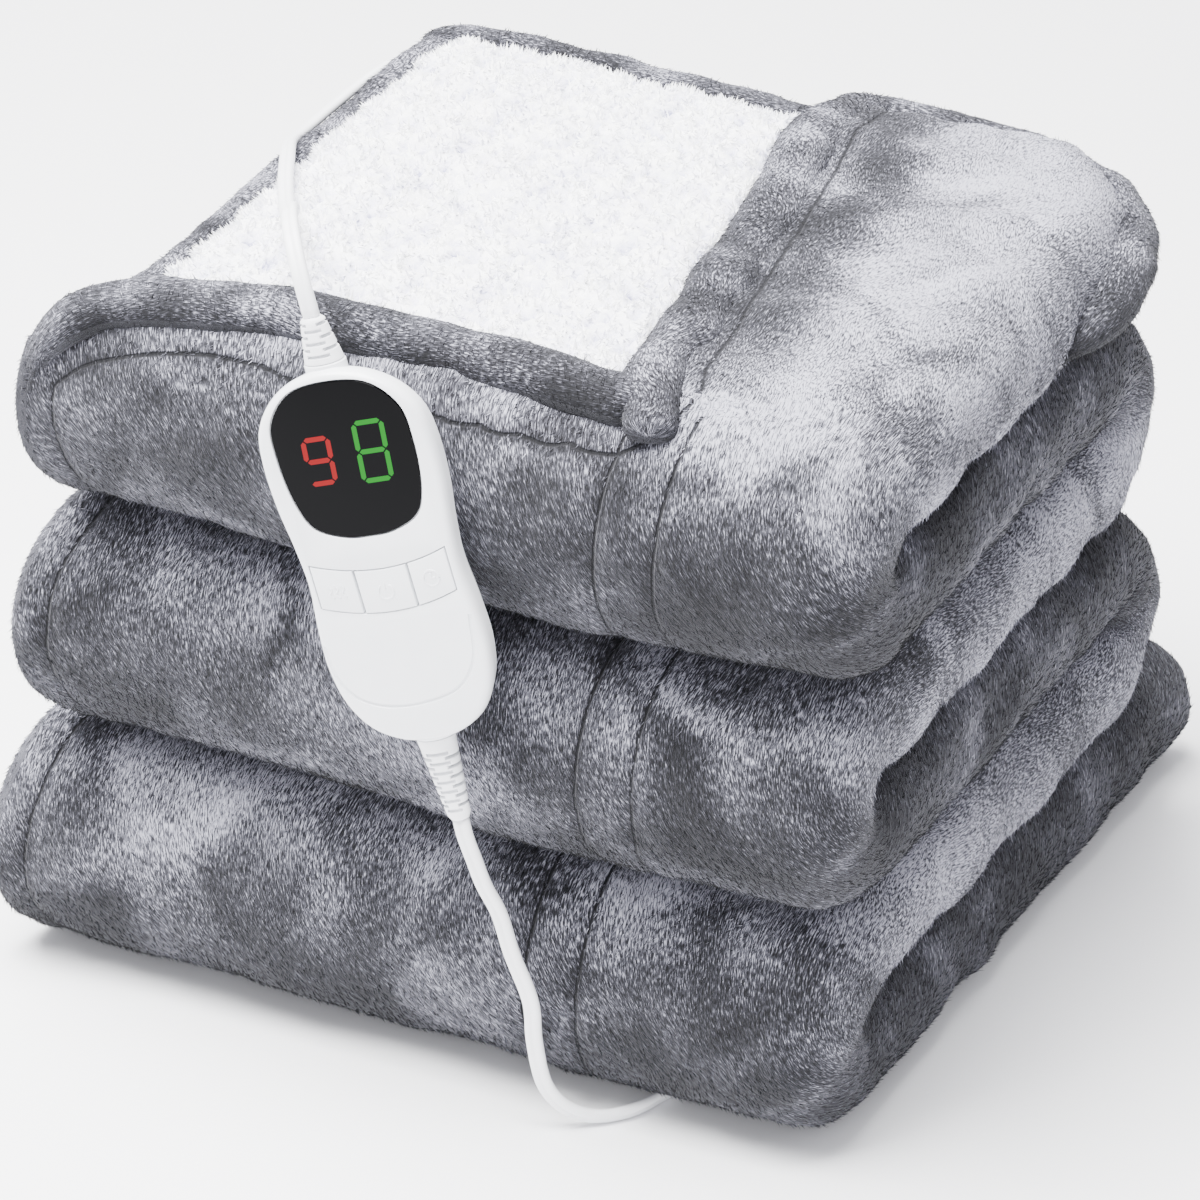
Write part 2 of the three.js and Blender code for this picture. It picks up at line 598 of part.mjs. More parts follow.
function handControl() {
    const control = new THREE.Group();
    control.add(piece('control_housing', housing, 'shell'), piece('display_window', displayWindow, 'display'));
    const keys = [
        { name: 'key_left', from: -keyRow.halfWidth, to: -keyRow.split },
        { name: 'key_power', from: -keyRow.split, to: keyRow.split },
        { name: 'key_right', from: keyRow.split, to: keyRow.halfWidth },
    ];
    for (const { name, from, to } of keys) {
        control.add(piece(name, plate(keyShape(from, to, keyGap), 0.2 - keyThickness, 0.2), 'shell'));
    }
    control.add(...reliefs());
    control.position.set(controlPlace.x, controlPlace.y, controlPlace.z);
    const { aboutUp, lean, tilt } = controlTurnDeg;
    const right = new THREE.Vector3(1, 0, 0).applyAxisAngle(new THREE.Vector3(0, 0, 1), THREE.MathUtils.degToRad(aboutUp));
    const back = new THREE.Vector3(0, 0, 1).cross(right);
    const up = new THREE.Vector3(0, 0, Math.cos(THREE.MathUtils.degToRad(lean))).addScaledVector(back, Math.sin(THREE.MathUtils.degToRad(lean)));
    const [c, s] = [Math.cos(THREE.MathUtils.degToRad(tilt)), Math.sin(THREE.MathUtils.degToRad(tilt))];
    const across = right.clone().multiplyScalar(c).addScaledVector(up, s);
    const along = right.clone().multiplyScalar(-s).addScaledVector(up, c);
    control.setRotationFromMatrix(new THREE.Matrix4().makeBasis(across, along, new THREE.Vector3().crossVectors(across, along)));
    return control;
}

const stand = new THREE.Group();
stand.add(piece('throw_cloth', throwCloth, 'flannel'), piece('sherpa_lining', lining, 'sherpa'), handControl());

const cords = new THREE.Group();
cords.add(piece('mains_lead', cordGeometry(mainsRoute, 64), 'cord'));
cords.add(piece('mains_coil', coilGeometry(), 'cord'));
cords.add(piece('plug_lead', cordGeometry(plugRoute, 6), 'cord'));
cords.add(piece('throw_lead', cordGeometry(throwRoute, 18), 'cord'));
const plug = new THREE.Group();
plug.add(piece('plug_body', plugBody(), 'cord'), piece('plug_blade_left', blade(-1), 'blade'), piece('plug_blade_right', blade(1), 'blade'));
plug.position.set(plugPlace.x, plugPlace.y, plugPlace.z);
plug.rotation.z = THREE.MathUtils.degToRad(plugPlace.turnDeg);
cords.add(plug);

const part = new THREE.Group();
part.add(stand, cords);
part.updateMatrixWorld(true);
const box = new THREE.Box3().setFromObject(stand, true);
part.position.set(-(box.min.x + box.max.x) / 2, -(box.min.y + box.max.y) / 2, -box.min.z);
part.updateMatrixWorld(true);

export default part;
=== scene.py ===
import math
import bmesh
import bpy
import numpy as np
from mathutils import Matrix, Vector


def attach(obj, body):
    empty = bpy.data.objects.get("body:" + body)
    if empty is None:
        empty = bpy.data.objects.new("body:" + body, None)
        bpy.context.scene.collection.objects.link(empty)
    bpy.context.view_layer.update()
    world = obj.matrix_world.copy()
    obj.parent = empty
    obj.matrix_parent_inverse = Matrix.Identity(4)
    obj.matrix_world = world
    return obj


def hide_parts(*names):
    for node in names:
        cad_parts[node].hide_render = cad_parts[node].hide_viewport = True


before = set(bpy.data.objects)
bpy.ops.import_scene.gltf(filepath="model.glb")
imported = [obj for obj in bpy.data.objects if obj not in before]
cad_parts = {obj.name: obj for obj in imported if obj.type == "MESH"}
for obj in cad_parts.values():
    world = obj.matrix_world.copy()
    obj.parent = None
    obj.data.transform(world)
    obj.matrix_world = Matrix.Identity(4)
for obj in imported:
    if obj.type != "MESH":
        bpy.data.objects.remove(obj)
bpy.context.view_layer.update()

# Camera
# A long lens from the right and above, as the photograph was taken. Sizes in this file are in
# millimetres from the left front corner of the stack; placed() turns them to the frame.

CORNER = np.array([152.2335, 147.1902, 0.325])
STACK_MIDDLE = np.array([160, 140, 130])
AIM_LEFT, AIM_DOWN = 4.28, 3.80
CAMERA_AWAY = 2.5                    # metres


def placed(points):
    return (np.asarray(points, float) - CORNER) / 1000


turn, rise = math.radians(26.70), math.radians(28.78)
cam_back = np.array([math.sin(turn) * math.cos(rise), -math.cos(turn) * math.cos(rise), math.sin(rise)])
cam_right = np.array([math.cos(turn), math.sin(turn), 0.0])
cam_up = np.cross(cam_back, cam_right)
camera = bpy.data.objects.new("camera", bpy.data.cameras.new("camera"))
camera.data.lens = 209.62
camera.data.sensor_width = 36.0
camera.data.clip_end = 20.0
aim = placed(STACK_MIDDLE - AIM_LEFT * cam_right - AIM_DOWN * cam_up)
camera.matrix_world = (Matrix.Translation(Vector(aim + CAMERA_AWAY * cam_back))
                       @ Matrix(np.stack([cam_right, cam_up, cam_back], 1).tolist()).to_4x4())
bpy.context.scene.collection.objects.link(camera)
bpy.context.scene.camera = camera


# Leads
# Flat twin flex, 6 mm wide: two round cores side by side in soft white PVC, with a groove
# between them. The mains lead ends in a coil and a plug behind the stack.

MAINS_ROUTE = [
    (131.3, -23.7, 305.4), (130.5, -23.7, 308.2), (128.3, -23.0, 314.1), (125.4, -20.8, 319.5),
    (122.1, -17.4, 324.0), (118.5, -12.9, 327.1), (114.5, -7.0, 328.7), (110.4, 0.0, 328.3),
    (106.0, 8.0, 325.6), (100.0, 20.0, 319.0), (92.0, 34.0, 310.0), (83.0, 49.0, 300.2),
    (74.0, 64.0, 291.6), (65.0, 79.0, 285.5), (56.0, 94.0, 282.4), (47.0, 110.0, 281.8),
    (39.5, 124.5, 280.4), (32.4, 138.0, 277.6), (25.8, 151.0, 273.2), (20.8, 165.0, 268.6),
    (17.6, 180.0, 265.8), (16.0, 196.0, 264.9), (15.6, 222.0, 264.9), (16.0, 245.0, 264.2),
    (16.9, 262.0, 261.2), (17.8, 275.6, 257.2), (18.1, 286.0, 247.6), (18.3, 291.6, 233.5),
    (18.6, 292.6, 216.0), (19.0, 291.0, 194.0), (19.5, 292.0, 170.0), (20.3, 297.0, 147.0),
    (21.3, 303.0, 124.0), (22.2, 306.3, 100.0), (22.9, 309.0, 80.0), (23.6, 317.0, 65.0),
    (24.4, 330.5, 56.0), (25.4, 341.6, 43.0), (27.2, 346.8, 26.0), (31.6, 347.4, 12.5),
    (41.5, 345.6, 5.0), (54.0, 343.2, 3.4),
]
PLUG_ROUTE = [(108.0, 354.6, 3.4), (113.5, 362.5, 4.5), (121.0, 369.0, 6.5), (130.0, 371.8, 7.8),
              (137.7, 372.0, 8.0)]
THROW_ROUTE = [   # down the front rolls, in under the lowest one and into it
    (183.9, -22.0, 126.6), (185.3, -21.6, 120.0), (187.7, -19.6, 109.9), (189.7, -17.1, 99.9),
    (192.9, -11.8, 86.0), (196.2, -9.0, 69.4), (203.0, -8.1, 50.8), (204.7, -8.7, 35.5),
    (208.8, -8.1, 18.1), (214.9, -4.2, 9.0), (222.3, 1.9, 4.2), (230.9, 10.9, 3.4), (234.8, 18.4, 3.4),
    (237.1, 26.1, 3.4), (242.1, 37.5, 3.7), (246.0, 44.9, 4.6),
]
COIL_MIDDLE = (76.0, 383.2)
COIL_TURNS = [(36, 3.4), (30, 3.4), (30, 9.4), (36, 9.4), (30, 15.4), (36, 15.4)]   # radius, height
COIL_ENTRY = (42.9, 3.4)
ON_THE_FACE = np.array([0.936520, 0.213946, 0.277772])   # the flex leaves the control flat to its face


def distances(line):
    """How far along the line each of its points is."""
    return np.concatenate([[0], np.cumsum(np.linalg.norm(np.diff(line, axis=0), axis=1))])


def smooth_line(points, spacing):
    """A centripetal curve through the points, cut to even steps."""
    p = np.asarray(points, float)
    p = np.vstack([2 * p[0] - p[1], p, 2 * p[-1] - p[-2]])
    out = []
    for a, b, c, d in zip(p, p[1:], p[2:], p[3:]):
        t = np.cumsum([0] + [max(1e-6, np.linalg.norm(v)) ** 0.5 for v in (b - a, c - b, d - c)])
        s = np.linspace(t[1], t[2], 12, endpoint=False)[:, None]
        ab = (t[1] - s) / t[1] * a + s / t[1] * b
        bc = (t[2] - s) / (t[2] - t[1]) * b + (s - t[1]) / (t[2] - t[1]) * c
        cd = (t[3] - s) / (t[3] - t[2]) * c + (s - t[2]) / (t[3] - t[2]) * d
        abc = (t[2] - s) / t[2] * ab + s / t[2] * bc
        bcd = (t[3] - s) / (t[3] - t[1]) * bc + (s - t[1]) / (t[3] - t[1]) * cd
        out.append((t[2] - s) / (t[2] - t[1]) * abc + (s - t[1]) / (t[2] - t[1]) * bcd)
    out = np.vstack(out + [p[-2][None]])
    along = distances(out)
    even = np.linspace(0, along[-1], max(3, int(round(along[-1] / spacing)) + 1))
    return np.stack([np.interp(even, along, out[:, k]) for k in range(3)], 1)


def unit(vectors):
    """Each vector at length one."""
    return vectors / np.maximum(np.linalg.norm(vectors, axis=-1, keepdims=True), 1e-9)


def carried_frames(line, side):
    """Unit tangents, and a side direction carried along the line without twisting."""
    tangent = unit(np.gradient(line, axis=0))
    sides = []
    for t in tangent:
        side = unit(side - np.dot(side, t) * t)
        sides.append(side)
    return tangent, np.array(sides)


def lofted(rings):
    """Vertices and faces of a closed skin over rings of equal count, with flat ends."""
    rings = np.asarray(rings, float)
    count, around = rings.shape[:2]
    i = np.arange(around)
    j = (i + 1) % around
    faces = []
    for a in range(0, (count - 1) * around, around):
        faces += np.stack([a + i, a + j, a + around + j, a + around + i], 1).tolist()
    faces.append(i[::-1].tolist())
    faces.append(((count - 1) * around + i).tolist())
    return rings.reshape(-1, 3), faces


def add_piece(name, points, faces, material=None):
    """A smooth mesh object at the origin, its faces outwards, from points in millimetres."""
    mesh = bpy.data.meshes.new(name)
    mesh.from_pydata(placed(points).tolist(), [], faces)
    bm = bmesh.new()
    bm.from_mesh(mesh)
    bmesh.ops.recalc_face_normals(bm, faces=bm.faces)
    bm.to_mesh(mesh)
    bm.free()
    mesh.polygons.foreach_set("use_smooth", [True] * len(mesh.polygons))
    piece = bpy.data.objects.new(name, mesh)
    bpy.context.scene.collection.objects.link(piece)
    if material:
        mesh.materials.append(material)
    return piece


def srgb(code):
    """Linear colour of an sRGB hex value."""
    parts = [int(code[i:i + 2], 16) / 255 for i in (1, 3, 5)]
    return tuple(c / 12.92 if c <= 0.04045 else ((c + 0.055) / 1.055) ** 2.4 for c in parts) + (1.0,)


def node(tree, kind, settings=None):
    """Adds a node and sets its properties and inputs; another node's output is linked."""
    made = tree.nodes.new(kind)
    for key, value in (settings or {}).items():
        if isinstance(value, bpy.types.NodeSocket):
            tree.links.new(value, made.inputs[key])
        elif isinstance(key, str) and hasattr(made, key):
            setattr(made, key, value)
        else:
            made.inputs[key].default_value = value
    return made


def new_material(name):
    made = bpy.data.materials.new(name)
    made.use_nodes = True
    made.node_tree.nodes.clear()
    return made, made.node_tree


def shade(tree, settings):
    """The material's surface: one principled shader on its output."""
    surface = node(tree, "ShaderNodeBsdfPrincipled", settings)
    node(tree, "ShaderNodeOutputMaterial", {"Surface": surface.outputs[0]})


# Soft PVC, extruded: satin, with a faint mottle from handling.
flex_white, tree = new_material("soft_pvc_extruded")
where = node(tree, "ShaderNodeTexCoord")
mottle = node(tree, "ShaderNodeTexNoise",
              {"Scale": 180.0, "Detail": 4.0, "Vector": where.outputs["Object"]})
tint = node(tree, "ShaderNodeMix",
            {"data_type": "RGBA", 6: srgb("#e6e7ea"), 7: srgb("#f1f2f4"), 0: mottle.outputs[0]})
dull = node(tree, "ShaderNodeMapRange", {"To Min": 0.34, "To Max": 0.48, "Value": mottle.outputs[0]})
grain = node(tree, "ShaderNodeBump", {"Strength": 0.15, "Distance": 0.0001, "Height": mottle.outputs[0]})
shade(tree, {"IOR": 1.5, "Base Color": tint.outputs[2], "Roughness": dull.outputs[0],
             "Normal": grain.outputs[0]})


def flat_flex(name, line, width=6.0, lobe=1.68):
    """Two round cores side by side, swept along the line."""
    tangent, sides = carried_frames(line, ON_THE_FACE)
    up = np.cross(tangent, sides)
    turns = np.radians(np.linspace(-128, 128, 12))
    core = np.stack([width / 2 - lobe + lobe * np.cos(turns), lobe * np.sin(turns)], 1)
    outline = np.vstack([core, -core])
    rings = line[:, None] + outline[:, 0, None] * sides[:, None] + outline[:, 1, None] * up[:, None]
    return add_piece(name, *lofted(rings), flex_white)


def coil_line(start_deg=-103, changeover=0.13, leave_deg=61, leave_radius=42.7):
    """The turns of the coil, from where the lead comes in to where it leaves for the plug."""
    start = math.radians(start_deg)
    points = []

    def add(angle, low, high, share):
        share = share * share * (3 - 2 * share)
        r, z = np.array(low) + (np.array(high) - low) * share
        points.append((COIL_MIDDLE[0] + r * math.cos(angle), COIL_MIDDLE[1] + r * math.sin(angle), z))

    stops = [COIL_ENTRY] + COIL_TURNS
    for k, (low, high) in enumerate(zip(stops, stops[1:])):
        for f in np.arange(0, 1, 1 / 24):
            add(start + 2 * math.pi * (k + f), low, high, min(1.0, f / changeover))
    for f in np.arange(0, 0.97, 0.14):
        add(start + math.radians(leave_deg) * f, COIL_TURNS[-1], (leave_radius, COIL_ENTRY[1]), f)
    return points


mains_line = smooth_line(MAINS_ROUTE + coil_line() + PLUG_ROUTE, 3.0)
throw_line = smooth_line(THROW_ROUTE, 2.5)
mains_flex = flat_flex("mains_flex", mains_line)
throw_flex = flat_flex("throw_flex", throw_line)


# Plug
# A flat two-pin plug moulded on the end of the mains lead, in the same white PVC: a waisted
# grip with ribs across it and two brass blades. It lies on its side by the coil.

PLUG_START = np.array([138.0, 372.0, 8.0])
PLUG_LEVELS = [   # along the plug, half width
    (0, 4.2), (3, 4.6), (6, 5.0), (8, 5.5), (9, 5.9), (10, 5.8), (11, 6.5), (12, 6.4), (13, 7.2), (14, 7.1),
    (15, 8.0), (16, 7.9), (17, 9.1), (18, 9.1), (20, 10.8), (24, 12.2), (30, 12.8), (36, 12.8), (37.4, 12.4),
    (38, 11.4),
]
PLUG_HALF_HEIGHT = 9.5
rings = []
for forward, half in PLUG_LEVELS:
    ring = []
    for angle in np.linspace(0, 2 * math.pi, 32, endpoint=False):
        c, s = math.cos(angle), math.sin(angle)
        aside = half * math.copysign(abs(c) ** 0.8, c)
        above = min(half, PLUG_HALF_HEIGHT) * 0.8 * math.copysign(abs(s) ** 0.8, s)
        ring.append(PLUG_START + (forward, -aside, above))
    rings.append(ring)
plug_grip = add_piece("plug_grip", *lofted(rings), flex_white)
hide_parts("plug_body")
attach(plug_grip, "throw")

# Brass, drawn and polished: fine draw marks along the blade.
blade_brass, tree = new_material("brass_polished")
where = node(tree, "ShaderNodeTexCoord")
drawn = node(tree, "ShaderNodeMapping",
             {"Scale": (60.0, 2200.0, 2200.0), "Vector": where.outputs["Object"]})
marks = node(tree, "ShaderNodeTexNoise", {"Scale": 1.0, "Detail": 3.0, "Vector": drawn.outputs[0]})
dull = node(tree, "ShaderNodeMapRange", {"To Min": 0.18, "To Max": 0.34, "Value": marks.outputs[0]})
shade(tree, {"Base Color": srgb("#d6bd83"), "Metallic": 1.0, "Roughness": dull.outputs[0]})
for name in ("plug_blade_left", "plug_blade_right"):
    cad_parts[name].data.materials.clear()
    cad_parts[name].data.materials.append(blade_brass)

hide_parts("mains_lead", "mains_coil", "plug_lead")
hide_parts("throw_lead")
for flex in (mains_flex, throw_flex):
    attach(flex, "throw")


# Throw
# One throw of flannel with a sherpa back, 127 x 167 cm, folded in half twice along its length
# and laid back and forth in six runs. Both faces have a deep pile, so it is 11 mm thick.

SHEET_PITCH = 11.65
SHEET_HALF = 5.5
RUN_PITCH = 4 * SHEET_PITCH
TURN_RADIUS = RUN_PITCH / 2
STACK_TOP = 6 * RUN_PITCH
FRONT_TURNS = [46.6, 44.0, 40.5]     # middles of the front rolls, from the floor up
REAR_TURNS = [254.0, 231.0]
TAIL_END = 330.0
DROOP_START, DROOP_RADIUS, DROOP_END = 240.0, 150.0, 12.0
RUN_LEFT = [-14, -12, 0, 4, 9, 10]
RUN_RIGHT = [309, 313, 315, 317, 320, 324]
ROLL_BULGE = 9.0
SECOND_HEM_INSET = 22.0
HEM_ROUNDING = np.radians([-54, -18, 18, 54])
# The top sheet: where its fold lies on the right, and the hem it turns back to: y, x.
TOP_RIGHT = [(170, 324), (205, 322), (240, 314), (256, 306), (272, 293), (292, 260)]
WINDOW = [(10, 12), (17, 30), (25, 55), (33, 95), (36, 224), (116, 211), (182, 202), (241, 191), (300, 189)]
HEM_SEAM = 16.5                      # from the hem's edge
FAR_FROM_SEAMS = 60.0
SEAM_PAIR = [(0, 195, 215), (1.2, 196, 216), (1.8, 218, 239), (3.2, 219, 240), (3.8, 226, 247),
             (5, 228, 250)]          # run, x of the two seams
FINE = np.concatenate([np.arange(0, 30, 2.5), np.arange(30, 185, 5), np.arange(185, 260, 2.5),
                       np.arange(260, 295, 5)]) / 295    # shares of the outer sheet, finer by its seams
# Run, how far the pile leans sideways.
LEAN = [(-.5, .7), (0, 1.5), (.5, .8), (.8, .1), (1, 0), (1.5, .5), (1.7, .7), (2, 1.5), (2.5, .7),
        (2.8, .1), (3, 0), (3.5, .5), (3.7, .7), (4, 1.4), (4.5, .8), (4.8, .3), (5, .1)]


def table(rows, at):
    rows = np.asarray(rows, float)
    return np.interp(at, rows[:, 0], rows[:, 1])


def ease(t):
    t = np.clip(t, 0, 1)
    return t * t * (3 - 2 * t)


def strip_path(straight, turning):
    """Along the middle of the strip: run, y, z, its direction in y and z, front bulge, thinness."""
    rows = []
    here = TAIL_END
    rounding = np.radians((26, 52, 78))
    for run in range(6):
        z = (run + 0.5) * RUN_PITCH
        there = DROOP_START if run == 5 else (REAR_TURNS[run // 2] if run % 2 else FRONT_TURNS[run // 2])
        heading = 1.0 if there > here else -1.0
        if run == 0:
            rows += [(0, here + SHEET_HALF * math.sin(a), z, -1.0, 0.0, 0.0, math.cos(a))
                     for a in rounding[::-1]]
        steps = int(round(abs(there - here) / straight))
        rows += [(run, y, z, heading, 0.0, 0.0, 1.0)
                 for y in np.linspace(here, there, steps, endpoint=False)]
        if run < 5:
            out = 1.0 if run % 2 else -1.0
            for a in np.linspace(0, math.pi, int(round(math.pi * 2 * TURN_RADIUS / turning)),
                                 endpoint=False):
                s, c = math.sin(a), math.cos(a)
                rows.append((run + a / math.pi, there + out * TURN_RADIUS * s, z + TURN_RADIUS * (1 - c),
                             out * c, s, s if out < 0 else 0.0, 1.0))
        here = there
    for a in np.radians(np.linspace(0, DROOP_END, 9)):
        rows.append((5, DROOP_START + DROOP_RADIUS * math.sin(a),
                     5.5 * RUN_PITCH - DROOP_RADIUS * (1 - math.cos(a)),
                     math.cos(a), -math.sin(a), 0.0, 1.0))
    _, y, z, ty, tz, _, _ = rows[-1]
    rows += [(5, y + SHEET_HALF * math.sin(a) * ty, z + SHEET_HALF * math.sin(a) * tz, ty, tz, 0.0,
              math.cos(a)) for a in rounding]
    return np.array(rows)


def meander(top_hem, second_hem, left, right, fine):
    """The four sheets in cross-section: x, v, normal x, normal v, sheet."""
    fold_x = right - 1.5 * SHEET_PITCH - SHEET_HALF
    left_fold = left + SHEET_PITCH / 2 + SHEET_HALF
    shares = FINE if fine else np.linspace(0, 1, 15, endpoint=False)
    many = (20, 52, 8, 8) if fine else (9, 12, 6, 5)
    rows = []

    def flat(x0, x1, v, n, spread, sheet):
        rows.extend((x0 + (x1 - x0) * s, v, 0.0, n, sheet) for s in spread)

    def fold(x, v, r, a0, a1, count, out, sheet):
        for a in np.radians(np.linspace(a0, a1, count)):
            c, s = math.cos(a), math.sin(a)
            rows.append((x + r * c, v + r * s, out * c, out * s, sheet))

    flat(top_hem, fold_x, 1.5 * SHEET_PITCH, 1, shares, 0)
    fold(fold_x, 0, 1.5 * SHEET_PITCH, 90, -90, many[0], 1, 1)
    flat(fold_x - 4, left_fold + 5, -1.5 * SHEET_PITCH, -1, np.linspace(0, 1, many[1]), 2)
    fold(left_fold, -SHEET_PITCH, SHEET_PITCH / 2, -90, -270, many[2], 1, 3)
    flat(left_fold + 6, fold_x - 6, -0.5 * SHEET_PITCH, 1, np.linspace(0, 1, many[3]), 4)
    fold(fold_x, 0, SHEET_PITCH / 2, -90, 90, many[3], -1, 4)
    flat(fold_x - 6, second_hem, 0.5 * SHEET_PITCH, -1, np.linspace(0, 1, many[3] + 2), 5)
    return np.array(rows)


def sway(p):
    """The stack isn't laid with a ruler: its layers swell and lean a little."""
    level = p[..., 2] / STACK_TOP
    lift = np.clip((p[..., 2] - 12) / 60, 0, 1)
    x = p[..., 0] + 2.5 * level * np.sin(p[..., 1] / 62)
    y = p[..., 1] + lift * (2.2 * np.sin(p[..., 0] / 54 + 1.0) + 1.6 * np.sin(p[..., 2] / 38))
    z = p[..., 2] + lift * (1.8 * np.sin(p[..., 0] / 60 + 0.6) * np.sin(level * math.pi)
                            + 1.5 * level * np.sin(p[..., 0] / 75 + 2.2)
                            - 1.6 * level * np.cos(p[..., 1] / 48))
    return np.stack([x, y, z], -1)


def ripple(points, wave, seed, count=9):
    """Smooth unevenness, mostly between -1 and 1, from waves in mixed directions."""
    rng = np.random.default_rng(seed)
    total = np.zeros(points.shape[:-1])
    for _ in range(count):
        way = rng.normal(size=3)
        way *= 2 * math.pi / (wave * rng.uniform(0.7, 1.5) * np.linalg.norm(way))
        total += np.sin(points @ way + rng.uniform(0, 6.3))
    return total / math.sqrt(count)


# Creases pressed into the cloth: from one point to another, half width and depth.
CREASES = [
    ((300, 262, 214), (322, 236, 190), 5.0, 3.0), ((296, 270, 196), (324, 234, 182), 5.0, 2.8),
    ((300, 270, 172), (326, 232, 172), 5.0, 2.8), ((306, 258, 158), (324, 230, 163), 4.0, 2.4),
    ((296, 290, 118), (318, 256, 98), 5.0, 3.0), ((296, 294, 98), (320, 254, 90), 5.0, 2.8),
    ((300, 290, 76), (320, 250, 82), 5.0, 2.8),
    ((316, 60, 206), (322, 150, 226), 7.0, 3.0), ((318, 110, 196), (320, 200, 214), 7.0, 2.4),
    ((310, 70, 112), (318, 170, 132), 7.0, 3.0), ((312, 130, 104), (318, 220, 122), 7.0, 2.4),
    ((304, 80, 20), (312, 190, 38), 7.0, 2.8), ((306, 160, 14), (310, 280, 32), 7.0, 2.4),
    ((286, -4, 196), (318, 14, 214), 8.0, 2.6), ((282, -4, 102), (314, 16, 122), 8.0, 2.6),
    ((278, 0, 14), (308, 22, 30), 8.0, 2.6),
    ((20, 0, 206), (70, -8, 214), 10.0, 2.2), ((14, 0, 112), (60, -6, 120), 10.0, 2.2),
]


def creased(points):
    depth = np.zeros(len(points))
    for a, b, width, deep in CREASES:
        a, b = np.array(a, float), np.array(b, float)
        t = np.clip((points - a) @ (b - a) / np.dot(b - a, b - a), 0, 1)
        gap = np.linalg.norm(points - a - t[:, None] * (b - a), axis=1)
        fade = np.sin(np.clip(t, 0.1, 0.9) * math.pi)
        depth = np.maximum(depth, deep * np.exp(-(gap / width) ** 2) * fade)
    return depth


strip = strip_path(9.0, 5.2)
rings, info, hem_edge = [], [], []
distance = leaned = 0.0
last = strip[0]
for row in strip:
    run, y, z, ty, tz, bulge, thin = row
    low, high, t = int(run), min(5, int(run) + 1), run - int(run)
    left = RUN_LEFT[low] * (1 - t) + RUN_LEFT[high] * t - ROLL_BULGE * bulge
    right = RUN_RIGHT[low] * (1 - t) + RUN_RIGHT[high] * t if run < 5 else table(TOP_RIGHT, y)
    top_y, top_z = y - 1.5 * SHEET_PITCH * tz, z + 1.5 * SHEET_PITCH * ty
    in_top = top_z > 5.5 * RUN_PITCH and run > 4.5
    top_hem = max(left, table(WINDOW, top_y)) if in_top else left
    second_hem = left + 3 + (SECOND_HEM_INSET - 3) * float(ease((run - 4.3) / 0.7))
    half = SHEET_HALF * thin
    outer = meander(top_hem + half, second_hem + half, left, right, True)
    inner = meander(top_hem + half, second_hem + half, left, right, False)[::-1]
    hems = [[(p[0] - half * math.cos(a), p[1] + half * math.sin(a)) for a in HEM_ROUNDING]
            for p in (outer[-1], outer[0])]
    outline = np.vstack([outer[:, :2] + half * outer[:, 2:4], hems[0],
                         inner[:, :2] - half * inner[:, 2:4], hems[1]])
    sheet = np.concatenate([outer[:, 4], [20] * 4, inner[:, 4] + 10, [21] * 4])
    step = math.hypot(y - last[1], z - last[2]) * (1 + 0.75 * abs(tz) * (run % 1 > 0))
    last = row
    distance += step
    lean = table(LEAN, run)
    leaned += step * lean
    across = distances(outline) + outline[0, 0]
    rings.append(np.stack([outline[:, 0], y - tz * outline[:, 1], z + ty * outline[:, 1]], 1))
    whole = np.ones(len(sheet))
    info.append(np.stack([across + leaned, distance * whole, sheet, run * whole, outline[:, 0], tz * whole,
                          lean * whole], 1))
    hem_edge.append((top_hem, distance))
rings, info = sway(np.array(rings)), np.array(info)
ring_count, around = rings.shape[:2]
sheet_all, run_all, x_all = info[:, :, 2], info[:, :, 3], info[:, :, 4]

# Seams: distance along the cloth from the hem's edge, and across to the pair of seams.
seams = np.full((ring_count, around, 3), FAR_FROM_SEAMS)
top_sheet = np.isin(sheet_all[0], (0, 21))
spots = info[:, top_sheet][:, :, [4, 1]]
steps = np.linspace(0, len(hem_edge) - 1, 8 * len(hem_edge))
hem_line = [np.interp(steps, np.arange(len(hem_edge)), column) for column in np.array(hem_edge).T]
hem_line = np.stack(hem_line, 1)
from_edge = np.array([np.linalg.norm(row[:, None] - hem_line[None], axis=2).min(1) for row in spots])
run_of, x_of, y_of = run_all[:, top_sheet], x_all[:, top_sheet], rings[:, top_sheet, 1]
unsewn = np.zeros((2, ring_count, around))
for k, ends_at in ((1, 22), (2, 36)):
    seams[:, top_sheet, k - 1] = x_of - table([(row[0], row[k]) for row in SEAM_PAIR], run_of)
    unsewn[k - 1][:, top_sheet] = (run_of > 4.9) * ease((y_of - ends_at) / 6)
clear = 4.5 * ease((x_of - 70) / 50) * (1 - ease((y_of - 30) / 20))   # in front of the plump band
seams[:, top_sheet, 2] = from_edge - HEM_SEAM - clear

along = unit(np.gradient(rings, axis=0))
sideways = unit(np.roll(rings, -1, axis=1) - np.roll(rings, 1, axis=1))
normals = unit(np.cross(sideways, along))
normals *= np.sign(normals[-20, 30, 2])
soft = 0.9 * ripple(rings, 46, 3) + 0.5 * ripple(rings, 17, 4)
valley = sum((1 - unsewn[k]) * np.exp(-(seams[:, :, k] / 2.4) ** 2) for k in (0, 1))
valley += 1.1 * np.exp(-(seams[:, :, 2] / 3.0) ** 2)
push = soft * ease(rings[:, :, 2] / 6) - valley - creased(rings.reshape(-1, 3)).reshape(ring_count, around)
cloth = rings + ((sheet_all < 10) * push)[:, :, None] * normals

